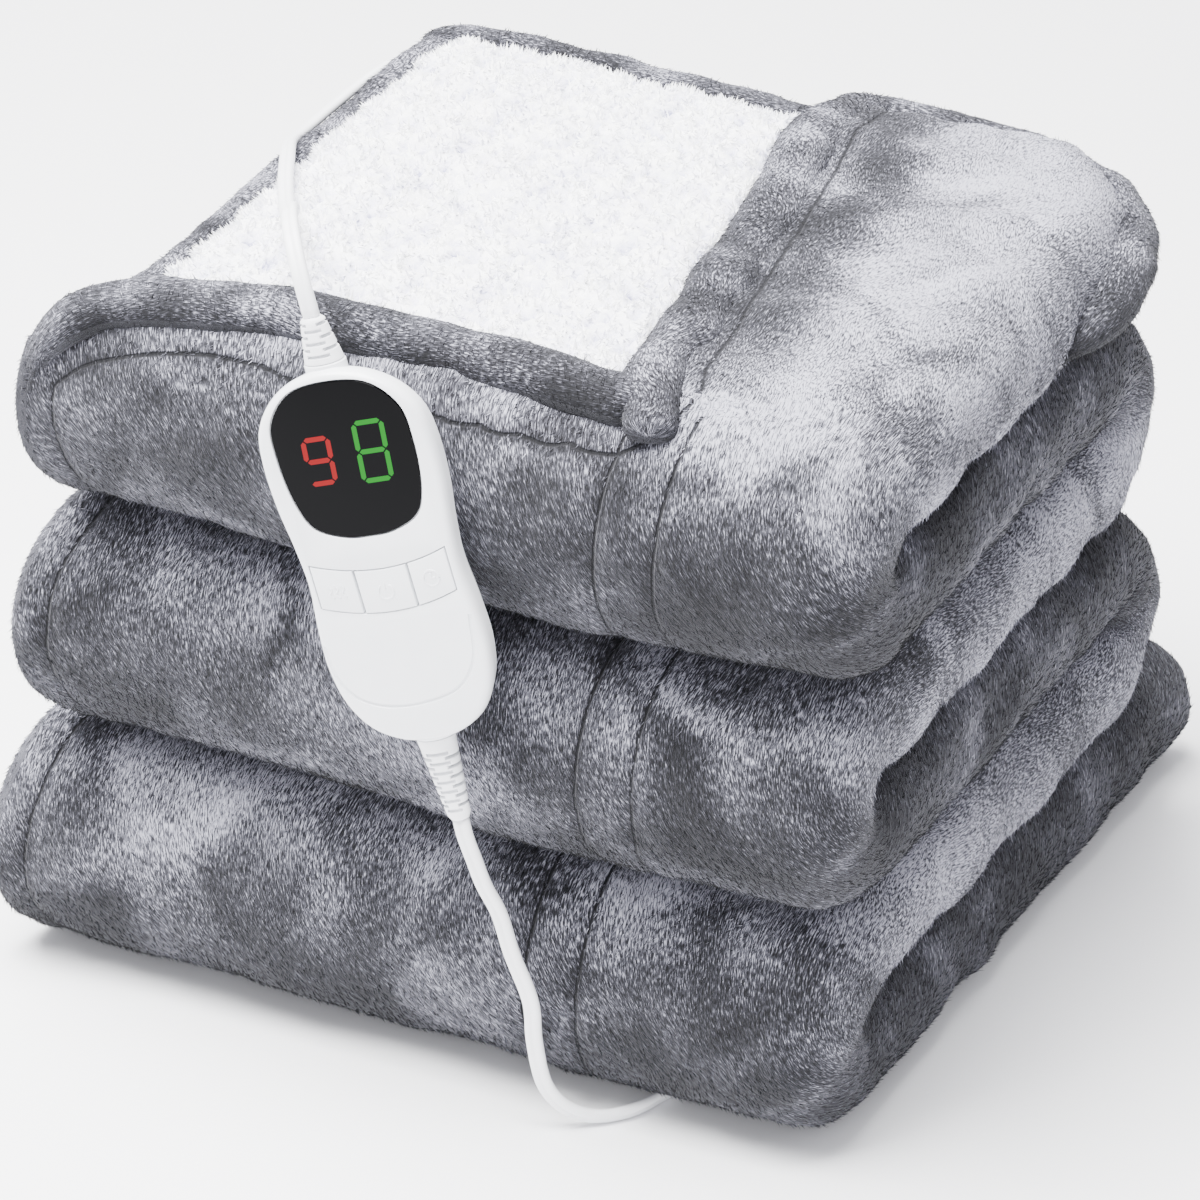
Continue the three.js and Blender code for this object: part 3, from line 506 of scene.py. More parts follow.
# Painted light on the pile: 0 is painted shade, 1 is painted sheen.
# Each front roll is painted lighter at its top and darker below it.
FRONT_PAINTED_LIGHT = [(0, .12), (.5, .42), (1, .82), (1.02, .2), (2, .24), (2.5, .44), (3, .66), (3.02, .3),
             (4, .28), (4.5, .42), (5, .56)]
SIDE_PAINTED_LIGHT = [(0, .26), (.5, .42), (.9, .76), (1.2, .74), (1.6, .28), (2.1, .22), (2.5, .42), (2.9, .76),
            (3.2, .74), (3.6, .28), (4.1, .2), (4.5, .38), (4.9, .66), (5, .66)]
on_top = ease((run_all - 4.7) / 0.3)
# Painted shade on the top sheet next to the window's hem, lighter further from it.
flap = ease((x_all - table(WINDOW, rings[:, :, 1]) - 26) / 34)
lie = table(FRONT_PAINTED_LIGHT, run_all) * (1 - on_top) + on_top * (0.5 + 0.42 * flap)
# At the right: painted light where a run stands out, painted shade where it is recessed under the one above.
at_side = ease((x_all - 270) / 34) * (1 - on_top * 0.7)
at_side = np.where(np.isin(sheet_all, (1, 2)), np.maximum(at_side, 0.35), at_side)
lie = lie * (1 - at_side) + at_side * table(SIDE_PAINTED_LIGHT, run_all)
# Patches of painted light and shade, lighter or darker than round them: middle, reach, change.
PATCHES = [
    ((262, -2, 214), 34, -.26), ((300, 8, 236), 22, -.12), ((240, -6, 128), 30, -.14),
    ((150, -8, 236), 24, .14), ((60, -4, 232), 30, -.1), ((40, -4, 120), 26, -.12),
    ((180, -6, 110), 24, .12), ((120, -4, 24), 34, -.16), ((250, 2, 30), 30, -.1),
    ((232, 8, 180), 18, .3), ((246, 4, 82), 22, .16), ((300, 60, 270), 30, -.1),
    ((268, 20, 262), 30, .18), ((250, 240, 276), 26, .1), ((236, 90, 280), 18, -.18),
    ((226, 170, 280), 16, -.2), ((232, 214, 278), 18, -.2), ((84, -6, 80), 24, .12),
    ((200, 0, 66), 20, .16), ((290, -4, 122), 22, -.2), ((262, -6, 50), 52, -.1),
    ((262, -6, 140), 40, -.14), ((60, -4, 140), 40, -.06), ((150, -6, 140), 34, .05),
    ((200, -4, 236), 34, -.1), ((318, 150, 150), 40, .14), ((314, 120, 30), 26, .2),
    ((316, 210, 36), 22, .26), ((318, 90, 112), 22, .22), ((320, 200, 120), 24, .26),
    ((322, 110, 205), 24, .2), ((322, 200, 214), 22, .26), ((318, 60, 180), 22, -.2),
    ((316, 150, 92), 24, -.16),
]
for middle, reach, change in PATCHES:
    lie += change * np.exp(-(np.linalg.norm(rings - np.array(middle), axis=2) / reach) ** 2)

# Where the outer face shows, which is where its pile is drawn lock by lock.
bare = np.isin(sheet_all, (1, 3, 20, 21)) * 1.0
bare = np.maximum(bare, np.isin(sheet_all, (0, 2)) * ease((np.abs(info[:, :, 5]) - 0.12) / 0.1))
bare = np.maximum(bare, (sheet_all == 0) * (run_all > 4.99)) * (rings[:, :, 2] > 5.0)

cloth_points, cloth_faces = [cloth.reshape(-1, 3)], lofted(cloth)[1]
combed = (info[:, :, 6] + 0.35 * ripple(rings, 70, 8))[:, :, None] * sideways - along
columns = {"lie": [np.clip(lie, 0.04, 0.97).ravel()], "bare": [bare.ravel()],
           "seams": [seams.reshape(-1, 3)],
           "unsewn": [unsewn[0].ravel()],
           "comb": [combed.reshape(-1, 3)], "spread": [info[:, :, :2].reshape(-1, 2) / 1000]}


# Hems
# The throw's edge is a band of flannel turned over the sherpa and stitched down, plump and
# round. Where the top sheet is folded back, its hem lies along the window it leaves.

def hem_band(points, half_width, half_height, lie_low, lie_high, seed, sides=22, taper=(1.0, 1.0)):
    """A plump band swept along a line, its ends rounded, added to the throw's mesh."""
    line = smooth_line(points, 3.0)
    girths = np.clip(np.linspace(0, len(line) / 12, len(line)), 0, 1)
    girths = (taper[0] + (1 - taper[0]) * ease(girths)) * (taper[1] + (1 - taper[1]) * ease(girths[::-1]))
    tangent = unit(np.gradient(line, axis=0))
    across = unit(np.cross(tangent, (0, 0, 1.0)))
    up = np.cross(across, tangent)
    rounding = np.radians((75, 50, 25))
    spine = [(0, -math.sin(a), math.cos(a)) for a in rounding] + [(k, 0, 1) for k in range(len(line))]
    spine += [(len(line) - 1, math.sin(a), math.cos(a)) for a in rounding[::-1]]
    angles = np.linspace(0, 2 * math.pi, sides, endpoint=False)
    wide = np.sign(np.cos(angles)) * np.abs(np.cos(angles)) ** 0.85 * half_width
    tall = np.sign(np.sin(angles)) * np.abs(np.sin(angles)) ** 0.85 * half_height
    band = [line[k] + tangent[k] * shift * half_height * girths[k]
            + scale * girths[k] * (wide[:, None] * across[k] + tall[:, None] * up[k])
            for k, shift, scale in spine]
    band = sway(np.array(band))
    out = unit(band - band.mean(1, keepdims=True))
    way = unit(np.gradient(band, axis=0))
    start, n = sum(len(p) for p in cloth_points), len(band)
    cloth_faces.extend([start + k for k in face] for face in lofted(band)[1])
    bumps = 0.7 * ripple(band, 26, seed) + 0.2 * ripple(band, 11, seed + 1)
    cloth_points.append((band + bumps[:, :, None] * out).reshape(-1, 3))
    ahead = distances(band.mean(1))[:, None]
    girth = (angles * (half_width + half_height) / 2)[None]
    # Painted light: the band is lighter on its top and darker underneath.
    painted_levels = (lie_low + (lie_high - lie_low) * ease((out[:, :, 2] + 0.3) / 1.2)
              + 0.10 * ripple(band, 26, seed + 2))
    columns["lie"].append(np.clip(painted_levels, 0.04, 0.95).ravel())
    columns["bare"].append((out[:, :, 2] > -0.6).ravel() * 1.0)
    columns["seams"].append(np.full((n * sides, 3), FAR_FROM_SEAMS))
    columns["unsewn"].append(np.zeros(n * sides))
    columns["comb"].append((np.cross(out, way)
                            + 0.5 * ripple(band, 30, seed + 3)[:, :, None] * way).reshape(-1, 3))
    columns["spread"].append(np.stack([(girth + 400 * seed + 0 * ahead).ravel(),
                                       (ahead + 0 * girth).ravel()], 1) / 1000)


TOP_LEVEL = STACK_TOP - SHEET_PITCH / 2
SECOND_LEVEL = STACK_TOP - 1.5 * SHEET_PITCH

# Along the front of the window, from the left end of the top roll.
hem_band([(6, 0, TOP_LEVEL - 34), (9, 3, TOP_LEVEL - 21), (17, 8.5, TOP_LEVEL - 11),
          (30, 15.5, TOP_LEVEL - 5.5), (55, 22, TOP_LEVEL - 1.5), (92, 28, TOP_LEVEL + 1),
          (130, 30, TOP_LEVEL + 1.5), (180, 30, TOP_LEVEL + 1.5), (224, 28, TOP_LEVEL + 1)],
         half_width=12.5, half_height=7.6, lie_low=0.2, lie_high=0.46, seed=11, taper=(0.4, 1.0))
# Up its right side, on the flap.
hem_band([(237, 14, TOP_LEVEL), (232, 24, TOP_LEVEL + 1.5), (225, 40, TOP_LEVEL + 2),
          (213, 116, TOP_LEVEL + 1), (204, 182, TOP_LEVEL + 1), (193, 241, TOP_LEVEL + 1),
          (191, 283, TOP_LEVEL - 6)],
         half_width=11.5, half_height=7.2, lie_low=0.14, lie_high=0.56, seed=21, taper=(0.8, 1.0))
# Along its back and up its left side, on the sheet below.
hem_band([(30, 258, SECOND_LEVEL + 3), (38, 267, SECOND_LEVEL + 3), (60, 270, SECOND_LEVEL + 3),
          (110, 271, SECOND_LEVEL + 3), (190, 270, SECOND_LEVEL + 2)],
         half_width=8.5, half_height=7.5, lie_low=0.2, lie_high=0.46, seed=31)
hem_band([(30, 34, SECOND_LEVEL + 1.5), (31, 90, SECOND_LEVEL + 2), (31, 160, SECOND_LEVEL + 2.5),
          (31, 220, SECOND_LEVEL + 2.5), (32, 264, SECOND_LEVEL + 3)],
         half_width=8.5, half_height=6.4, lie_low=0.3, lie_high=0.56, seed=36)
# Round the flap's rear corner and down its right side.
hem_band([(190, 286, 266), (215, 290, 264.5), (245, 288, 263.5), (272, 279, 263), (298, 261, 262.5),
          (314, 238, 262), (324, 212, 261), (327, 186, 258), (324, 164, 253), (318, 146, 247)],
         half_width=10.0, half_height=6.6, lie_low=0.14, lie_high=0.5, seed=41, taper=(1.0, 0.25))


# Flannel, knitted and brushed: deep soft pile with painted shade and painted sheen from its
# points' marks. Its hairs are drawn at 0.4 x 2 mm so that they show.
BRUSHED = {"Scale": 26.0, "Detail": 1.4, "Roughness": 0.5, "Distortion": 0.7}   # patches of about 40 mm
BRUSHED_BY = 1.15
HAIR_PAINTED_SHADES = ["#08080b", "#151519", "#2e2e34", "#5b5b64", "#a4a4b0"]   # from painted shade to painted sheen
flannel, tree = new_material("flannel_brushed")
spread = node(tree, "ShaderNodeUVMap", {"uv_map": "spread"})
painted_light_read = node(tree, "ShaderNodeAttribute", {"attribute_name": "lie"})
seam_gaps = node(tree, "ShaderNodeAttribute", {"attribute_name": "seams"})
where = node(tree, "ShaderNodeTexCoord")
flow = node(tree, "ShaderNodeTexNoise", {"Scale": 17.0, "Detail": 1.5, "Vector": spread.outputs[0]})
flow = node(tree, "ShaderNodeVectorMath",
            {"operation": "SUBTRACT", 1: (0.5, 0.5, 0.5), 0: flow.outputs["Color"]})
flow = node(tree, "ShaderNodeVectorMath",
            {"operation": "MULTIPLY_ADD", 1: (0.022, 0.008, 0.0), 0: flow.outputs[0], 2: spread.outputs[0]})
hair_space = node(tree, "ShaderNodeMapping", {"Scale": (2200.0, 420.0, 1.0), "Vector": flow.outputs[0]})
hairs = node(tree, "ShaderNodeTexNoise", {"noise_dimensions": "2D", "Scale": 1.0, "Detail": 2.5,
                                          "Roughness": 0.62, "Vector": hair_space.outputs[0]})
lock_space = node(tree, "ShaderNodeMapping", {"Scale": (520.0, 150.0, 1.0), "Vector": flow.outputs[0]})
locks = node(tree, "ShaderNodeTexNoise",
             {"noise_dimensions": "2D", "Scale": 1.0, "Detail": 2.0, "Vector": lock_space.outputs[0]})
brushed = node(tree, "ShaderNodeTexNoise", {**BRUSHED, "Vector": where.outputs["Object"]})
level = painted_light_read.outputs["Fac"]
for pattern, amount in ((brushed, BRUSHED_BY), (hairs, 2.4), (locks, 0.35)):
    centred = node(tree, "ShaderNodeMath", {"operation": "SUBTRACT", 0: pattern.outputs[0], 1: 0.5})
    level = node(tree, "ShaderNodeMath", {"operation": "MULTIPLY_ADD", 0: centred.outputs[0], 1: amount,
                                          2: level}).outputs[0]
gaps = node(tree, "ShaderNodeSeparateXYZ", {0: seam_gaps.outputs["Vector"]})
gaps = [node(tree, "ShaderNodeMath", {"operation": "ABSOLUTE", 0: gap}).outputs[0] for gap in gaps.outputs]
unsewn_here = node(tree, "ShaderNodeAttribute", {"attribute_name": "unsewn"})
pair = node(tree, "ShaderNodeMath", {"operation": "MINIMUM", 0: gaps[0], 1: gaps[1]})
pair = node(tree, "ShaderNodeMath",
            {"operation": "MULTIPLY_ADD", 0: unsewn_here.outputs["Fac"], 1: 20.0, 2: pair.outputs[0]})
nearest = node(tree, "ShaderNodeMath", {"operation": "MINIMUM", 0: pair.outputs[0], 1: gaps[2]}).outputs[0]
stitched = node(tree, "ShaderNodeMapRange",
                {"interpolation_type": "SMOOTHSTEP", "From Min": 0.2, "From Max": 0.85, "To Min": 1.0,
                 "To Max": 0.0, "Value": nearest})
# Painted shade in the groove beside each seam.
painted_seam_shade = node(tree, "ShaderNodeMapRange",
            {"interpolation_type": "SMOOTHSTEP", "From Min": 0.5, "From Max": 3.5, "To Min": 0.12,
             "To Max": 0.0, "Value": nearest})
# The dark seam line and the painted shade beside it, taken off the level.
stitch_and_painted_shade = node(tree, "ShaderNodeMath",
              {"operation": "MULTIPLY_ADD", 0: stitched.outputs[0], 1: 0.55, 2: painted_seam_shade.outputs[0]})
level = node(tree, "ShaderNodeMath", {"operation": "SUBTRACT", 0: level, 1: stitch_and_painted_shade.outputs[0]})
ramp = node(tree, "ShaderNodeValToRGB", {0: level.outputs[0]})
ramp.color_ramp.elements[0].color = srgb(HAIR_PAINTED_SHADES[0])
ramp.color_ramp.elements[1].color = srgb(HAIR_PAINTED_SHADES[4])
for place, colour in zip((0.25, 0.5, 0.75), HAIR_PAINTED_SHADES[1:4]):
    ramp.color_ramp.elements.new(place).color = srgb(colour)
height = node(tree, "ShaderNodeMath", {"operation": "MULTIPLY", 0: hairs.outputs[0], 1: 0.55})
height = node(tree, "ShaderNodeMath",
              {"operation": "MULTIPLY_ADD", 0: locks.outputs[0], 1: 0.8, 2: height.outputs[0]})
height = node(tree, "ShaderNodeMath",
              {"operation": "SUBTRACT", 0: height.outputs[0], 1: stitched.outputs[0]})
pile_relief = node(tree, "ShaderNodeBump",
                   {"Strength": 0.75, "Distance": 0.0011, "Height": height.outputs[0]})
shade(tree, {"Roughness": 0.85, "Sheen Weight": 0.14, "Sheen Roughness": 0.5, "Sheen Tint": srgb("#e4e4ee"),
             "Specular IOR Level": 0.2, "Base Color": ramp.outputs[0], "Normal": pile_relief.outputs[0]})


def marked(mesh, **values):
    """Writes numbers or vectors on the mesh's points, for its material and its pile to read."""
    for name, value in values.items():
        value = np.asarray(value, np.float32)
        kind, field = ("FLOAT", "value") if value.ndim == 1 else ("FLOAT_VECTOR", "vector")
        mesh.attributes.new(name, kind, "POINT").data.foreach_set(field, value.ravel())


throw_skin = add_piece("throw_skin", np.vstack(cloth_points), cloth_faces, flannel)
mesh = throw_skin.data
marked(mesh, **{name: np.concatenate(parts) for name, parts in columns.items() if name != "spread"})
corners = np.empty(len(mesh.loops), np.int32)
mesh.loops.foreach_get("vertex_index", corners)
values = np.vstack(columns["spread"]).astype(np.float32)[corners]
mesh.uv_layers.new(name="spread").data.foreach_set("uv", values.ravel())
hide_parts("throw_cloth")
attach(throw_skin, "throw")


# Pile
# The flannel is brushed up into fine hair, about 2 mm long, that leans with the nap. It is
# drawn here as separate locks, five tones from painted shade to painted sheen, on bare cloth only.

HAIR_LENGTH, HAIR_WIDTH = 0.0021, 0.00036
LOCKS_IN_PATCH = 38000
STRAY = 0.36                         # how far a lock's tone may be from its place's


def settled(piece):
    """Keeps the mesh as the modifiers leave it, and takes the modifiers away."""
    bpy.context.view_layer.update()
    done = bpy.data.meshes.new_from_object(piece.evaluated_get(bpy.context.evaluated_depsgraph_get()))
    piece.modifiers.clear()
    piece.data = done


def pile_tree(name, tones, mottle):
    """Leaning locks over the faces marked bare; each takes one of the tones by the painted light where it
    grows.
    """
    tree = bpy.data.node_groups.new(name, "GeometryNodeTree")
    tree.interface.new_socket("Ground", in_out="INPUT", socket_type="NodeSocketGeometry")
    for label in ("Per Square Metre", "Hair Length", "Hair Width", "Lift", "Disorder", "Patch"):
        tree.interface.new_socket(label, in_out="INPUT", socket_type="NodeSocketFloat")
    tree.interface.new_socket("Seed", in_out="INPUT", socket_type="NodeSocketInt")
    tree.interface.new_socket("Pile", in_out="OUTPUT", socket_type="NodeSocketGeometry")
    given = node(tree, "NodeGroupInput").outputs
    marks = (("bare", "FLOAT"), ("patch", "FLOAT"), ("lie", "FLOAT"), ("comb", "FLOAT_VECTOR"))
    bare, patch, lie, comb = (node(tree, "GeometryNodeInputNamedAttribute",
                                   {"data_type": kind, "Name": label}).outputs[0] for label, kind in marks)
    here = node(tree, "ShaderNodeMath", {"operation": "COMPARE", 0: patch, 1: given["Patch"], 2: 0.5})
    here = node(tree, "ShaderNodeMath", {"operation": "MULTIPLY", 0: bare, 1: here.outputs[0]})
    density = node(tree, "ShaderNodeMath",
                   {"operation": "MULTIPLY", 0: here.outputs[0], 1: given["Per Square Metre"]}).outputs[0]
    spots = node(tree, "GeometryNodeDistributePointsOnFaces",
                 {0: given["Ground"], 4: density, 6: given["Seed"]})
    loose = node(tree, "FunctionNodeRandomValue",
                 {"data_type": "FLOAT_VECTOR", 0: (-1, -1, -1), 1: (1, 1, 1), 8: given["Seed"]})
    combed = node(tree, "ShaderNodeVectorMath", {"operation": "NORMALIZE", 0: comb})
    way = node(tree, "ShaderNodeVectorMath", {"operation": "MULTIPLY_ADD", 0: spots.outputs[1],
                                              1: given["Lift"], 2: combed.outputs[0]}).outputs[0]
    way = node(tree, "ShaderNodeVectorMath",
               {"operation": "MULTIPLY_ADD", 0: loose.outputs[0], 1: given["Disorder"], 2: way}).outputs[0]
    turned = node(tree, "FunctionNodeAlignRotationToVector", {"axis": "Z", 2: way})
    longer = node(tree, "FunctionNodeRandomValue",
                  {"data_type": "FLOAT", 2: 0.65, 3: 1.3, 8: given["Seed"]})
    size = node(tree, "ShaderNodeCombineXYZ", {0: 1.0, 1: 1.0, 2: longer.outputs[1]})
    place = node(tree, "GeometryNodeInputPosition")
    brushed = node(tree, "ShaderNodeTexNoise", {**BRUSHED, "Vector": place.outputs[0]})
    chance = node(tree, "FunctionNodeRandomValue", {"data_type": "FLOAT", 2: -STRAY, 3: STRAY})
    centred = node(tree, "ShaderNodeMath", {"operation": "SUBTRACT", 0: brushed.outputs[0], 1: 0.5})
    tone = node(tree, "ShaderNodeMath",
                {"operation": "MULTIPLY_ADD", 0: centred.outputs[0], 1: mottle, 2: lie}).outputs[0]
    tone = node(tree, "ShaderNodeMath", {"operation": "ADD", 0: tone, 1: chance.outputs[1]}).outputs[0]
    last = len(tones) - 1.0
    for operation, by in (("MULTIPLY", last), ("MAXIMUM", 0.0), ("MINIMUM", last), ("ROUND", 0.0)):
        tone = node(tree, "ShaderNodeMath", {"operation": operation, 0: tone, 1: by}).outputs[0]
    lock = node(tree, "GeometryNodeMeshCone",
                {"fill_type": "NGON", 0: 3, 3: 0.0, 4: given["Hair Width"], 5: given["Hair Length"]})
    planted = node(tree, "GeometryNodeInstanceOnPoints",
                   {0: spots.outputs[0], 2: lock.outputs[0], 5: turned.outputs[0], 6: size.outputs[0]})
    toned = node(tree, "GeometryNodeStoreNamedAttribute",
                 {"data_type": "FLOAT", "domain": "INSTANCE", "Name": "tone", 0: planted.outputs[0],
                  "Value": tone})
    dyed = node(tree, "GeometryNodeRealizeInstances", {0: toned.outputs[0]})
    tone_kept = node(tree, "GeometryNodeInputNamedAttribute",
                     {"data_type": "FLOAT", "Name": "tone"}).outputs[0]
    for k, finish in enumerate(tones):
        which = node(tree, "ShaderNodeMath", {"operation": "COMPARE", 0: tone_kept, 1: float(k), 2: 0.4})
        chosen = {1: which.outputs[0]} if k else {}
        dyed = node(tree, "GeometryNodeSetMaterial", {"Material": finish, 0: dyed.outputs[0], **chosen})
    node(tree, "NodeGroupOutput", {0: dyed.outputs[0]})
    return tree


def grown(name, ground, tree, **settings):
    """A piece of pile over the ground's bare faces, as a plain mesh."""
    piece = bpy.data.objects.new(name, ground.data)
    bpy.context.scene.collection.objects.link(piece)
    growing = piece.modifiers.new("growing", "NODES")
    growing.node_group = tree
    for socket in tree.interface.items_tree:
        label = socket.name.lower().replace(" ", "_")
        if socket.in_out == "INPUT" and label in settings:
            growing[socket.identifier] = settings[label]
    settled(piece)
    return piece


# Single hairs of polyester, each one tone from painted shade to painted sheen; the five make the streaks.
hair_finishes = []
for k, tone in enumerate(HAIR_PAINTED_SHADES):
    finish, tree = new_material(f"flannel_hair_{k}")
    shade(tree, {"Base Color": srgb(tone), "Roughness": 0.8, "Sheen Weight": 0.12,
                 "Specular IOR Level": 0.2})
    hair_finishes.append(finish)
flannel_pile = pile_tree("flannel_pile", hair_finishes, BRUSHED_BY)

points = np.vstack(cloth_points)
FRONT, TOP, RIGHT, REAR = range(4)
patch = np.full(len(points), REAR)
patch[points[:, 1] < 60] = FRONT                                     # the lower two front rolls
patch[(points[:, 2] > 186) & (points[:, 0] < 286)] = TOP             # the top roll and the flap
patch[(points[:, 0] > 286) & (points[:, 1] > 6)] = RIGHT             # the right-hand folds
marked(mesh, patch=patch)
starts, areas = np.empty(len(mesh.polygons), np.int32), np.empty(len(mesh.polygons), np.float32)
mesh.polygons.foreach_get("loop_start", starts)
mesh.polygons.foreach_get("area", areas)
shown = areas * np.concatenate(columns["bare"])[corners[starts]]
pile_pieces = []
for k, place in enumerate(("front", "top", "right", "rear")):
    area = float(shown[patch[corners[starts]] == k].sum())
    pile_pieces.append(grown(f"pile_{place}", throw_skin, flannel_pile, patch=float(k), seed=k + 3,
                             per_square_metre=LOCKS_IN_PATCH / area, hair_length=HAIR_LENGTH,
                             hair_width=HAIR_WIDTH / 2, lift=0.42, disorder=0.38))
for piece in pile_pieces:
    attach(piece, "throw")


# Lining
# The back of the throw, white sherpa of curled polyester, shows where the top sheet is folded
# away. Its nubs are 3 to 7 mm across, and tufts of it stand out over the hems.

LINING_BASE = SECOND_LEVEL + 6.4
LINING_ROWS, LINING_COLUMNS = 176, 142
LINING_FRONT = [(20, 12), (30, 19), (55, 25), (92, 32), (130, 34), (230, 33)]   # x, y under the front hem


def nubs(at, size, seed):
    """1 at the middle of each nub, 0 between them."""
    scatter = np.random.default_rng(seed).uniform(-0.4, 0.4, (90, 90, 2))
    cell = np.floor(at / size).astype(int)
    nearest = np.full(len(at), 9.0)
    for i in (-1, 0, 1):
        for j in (-1, 0, 1):
            beside = cell + (i, j)
            middle = beside + 0.5 + scatter[beside[:, 0] % 90, beside[:, 1] % 90]
            nearest = np.minimum(nearest, np.linalg.norm(at / size - middle, axis=1))
    return np.clip(1 - (nearest / 0.8) ** 2, 0, 1)


v, u = np.meshgrid(np.linspace(0, 1, LINING_ROWS), np.linspace(0, 1, LINING_COLUMNS), indexing="ij")
flat_y = 40 + 222 * v
flat_x = 39 + u * (table(WINDOW, flat_y) - 47)
front_y = table(LINING_FRONT, flat_x)
lining = np.stack([flat_x, front_y + v * (260 - front_y), np.zeros_like(u)], -1)
fringe = 1.6 * ripple(lining, 13, 60) + 1.0 * ripple(lining, 5, 61)
lining[:, :, 0] -= fringe * np.clip(1 - u * 14, 0, 1)
lining[:, :, 1] += fringe * np.clip(1 - (1 - v) * 16, 0, 1)
spots = lining.reshape(-1, 3)
large, small = nubs(spots[:, :2], 6.6, 5), nubs(spots[:, :2] + 0.8 * ripple(spots, 9, 62)[:, None], 3.3, 6)
edge = np.minimum(np.minimum(u, 1 - u) * 180, np.minimum(v, 1 - v) * 226).ravel()
fill = 0.35 + 0.65 * np.sqrt(np.clip(edge / 7, 0, 1))
fill *= 1 - 0.3 * np.clip(1 - (1 - v.ravel()) * 226 / 26, 0, 1)
droop = DROOP_RADIUS - np.sqrt(DROOP_RADIUS ** 2 - np.clip(spots[:, 1] - DROOP_START, 0, 60) ** 2)
spots[:, 2] = (LINING_BASE - droop + fill * (4.6 + 2.9 * large + 1.5 * small + 0.8 * ripple(spots, 34, 63)
                                             + 0.35 * ripple(spots, 3.4, 64)))
ids = np.arange(LINING_ROWS * LINING_COLUMNS).reshape(LINING_ROWS, LINING_COLUMNS)
quads = [ids[:-1, :-1], ids[:-1, 1:], ids[1:, 1:], ids[1:, :-1]]
lining_faces = np.stack([corner.ravel() for corner in quads], 1).tolist()
rim = np.concatenate([ids[0, :-1], ids[:-1, -1], ids[-1, :0:-1], ids[:0:-1, 0]])
under = spots[rim] - (0, 0, 1.0) * (spots[rim, 2] - LINING_BASE + droop[rim] + 1.2)[:, None]
below = len(spots) + np.arange(len(rim))
lining_faces += np.stack([rim, below, np.roll(below, -1), np.roll(rim, -1)], 1).tolist()
lining_faces.append(below[::-1].tolist())

# Sherpa: curled white polyester, matt, with painted shade, slightly blue, between its nubs.
sherpa, tree = new_material("sherpa_curled")
depth = node(tree, "ShaderNodeAttribute", {"attribute_name": "lie"})
where = node(tree, "ShaderNodeTexCoord")
curls = node(tree, "ShaderNodeTexNoise", {"Scale": 520.0, "Detail": 3.0, "Roughness": 0.6,
                                          "Distortion": 1.2, "Vector": where.outputs["Object"]})
centred = node(tree, "ShaderNodeMath", {"operation": "SUBTRACT", 0: curls.outputs[0], 1: 0.5})
level = node(tree, "ShaderNodeMath", {"operation": "MULTIPLY_ADD", 0: centred.outputs[0], 1: 1.1,
                                      2: depth.outputs["Fac"]})
ramp = node(tree, "ShaderNodeValToRGB", {0: level.outputs[0]})
ramp.color_ramp.elements[0].color = srgb("#8585a6")
ramp.color_ramp.elements[1].color = srgb("#ffffff")
ramp.color_ramp.elements.new(0.4).color = srgb("#dadae8")
relief = node(tree, "ShaderNodeBump", {"Strength": 0.7, "Distance": 0.0008, "Height": curls.outputs[0]})
shade(tree, {"Roughness": 0.95, "Sheen Weight": 0.3, "Sheen Roughness": 0.5, "Specular IOR Level": 0.15,
             "Base Color": ramp.outputs[0], "Normal": relief.outputs[0]})

lining_skin = add_piece("lining_skin", sway(np.vstack([spots, under])), lining_faces, sherpa)
blank = np.zeros(len(under))
# Painted shade: light on the nubs, darker between them.
painted_levels = 0.62 * large + 0.5 * small - 0.05 + 0.12 * ripple(spots, 22, 65)
tufty = (edge < 5) + (edge >= 5) * (large * small > 0.5) * 0.25
way = np.stack([ripple(spots, 7, 66), ripple(spots, 7, 67), 0.4 + 0 * edge], 1)
way[:, 0] -= 0.8 * np.clip(1 - u.ravel() * 20, 0, 1)
way[:, 1] += 1.5 * np.clip(1 - (1 - v.ravel()) * 20, 0, 1)
way = np.vstack([way, np.zeros((len(under), 3))])
marked(lining_skin.data, lie=np.append(painted_levels, blank), bare=np.append(tufty, blank),
       patch=np.zeros(len(way)), comb=way)

# Three tones for the tufts, from painted shade between the nubs to white on them.
curl_finishes = []
for k, tone in enumerate(("#d3d3e0", "#ededf4", "#ffffff")):
    finish, tree = new_material(f"sherpa_curl_{k}")
    shade(tree, {"Base Color": srgb(tone), "Roughness": 0.9, "Sheen Weight": 0.2,
                 "Specular IOR Level": 0.15})
    curl_finishes.append(finish)
sherpa_pile = pile_tree("sherpa_tufts", curl_finishes, 0.2)
lining_tufts = grown("lining_tufts", lining_skin, sherpa_pile, patch=0.0, seed=9, per_square_metre=1.4e6,
                     hair_length=0.0030, hair_width=0.0005, lift=0.5, disorder=0.9)
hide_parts("sherpa_lining")
for piece in (lining_skin, lining_tufts):
    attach(piece, "throw")


# Hand control
# The wired control that lies against the front rolls: a two-part case of white gloss ABS, a
# display window of black acrylic let into it, three keys, and a slotted relief at each end.

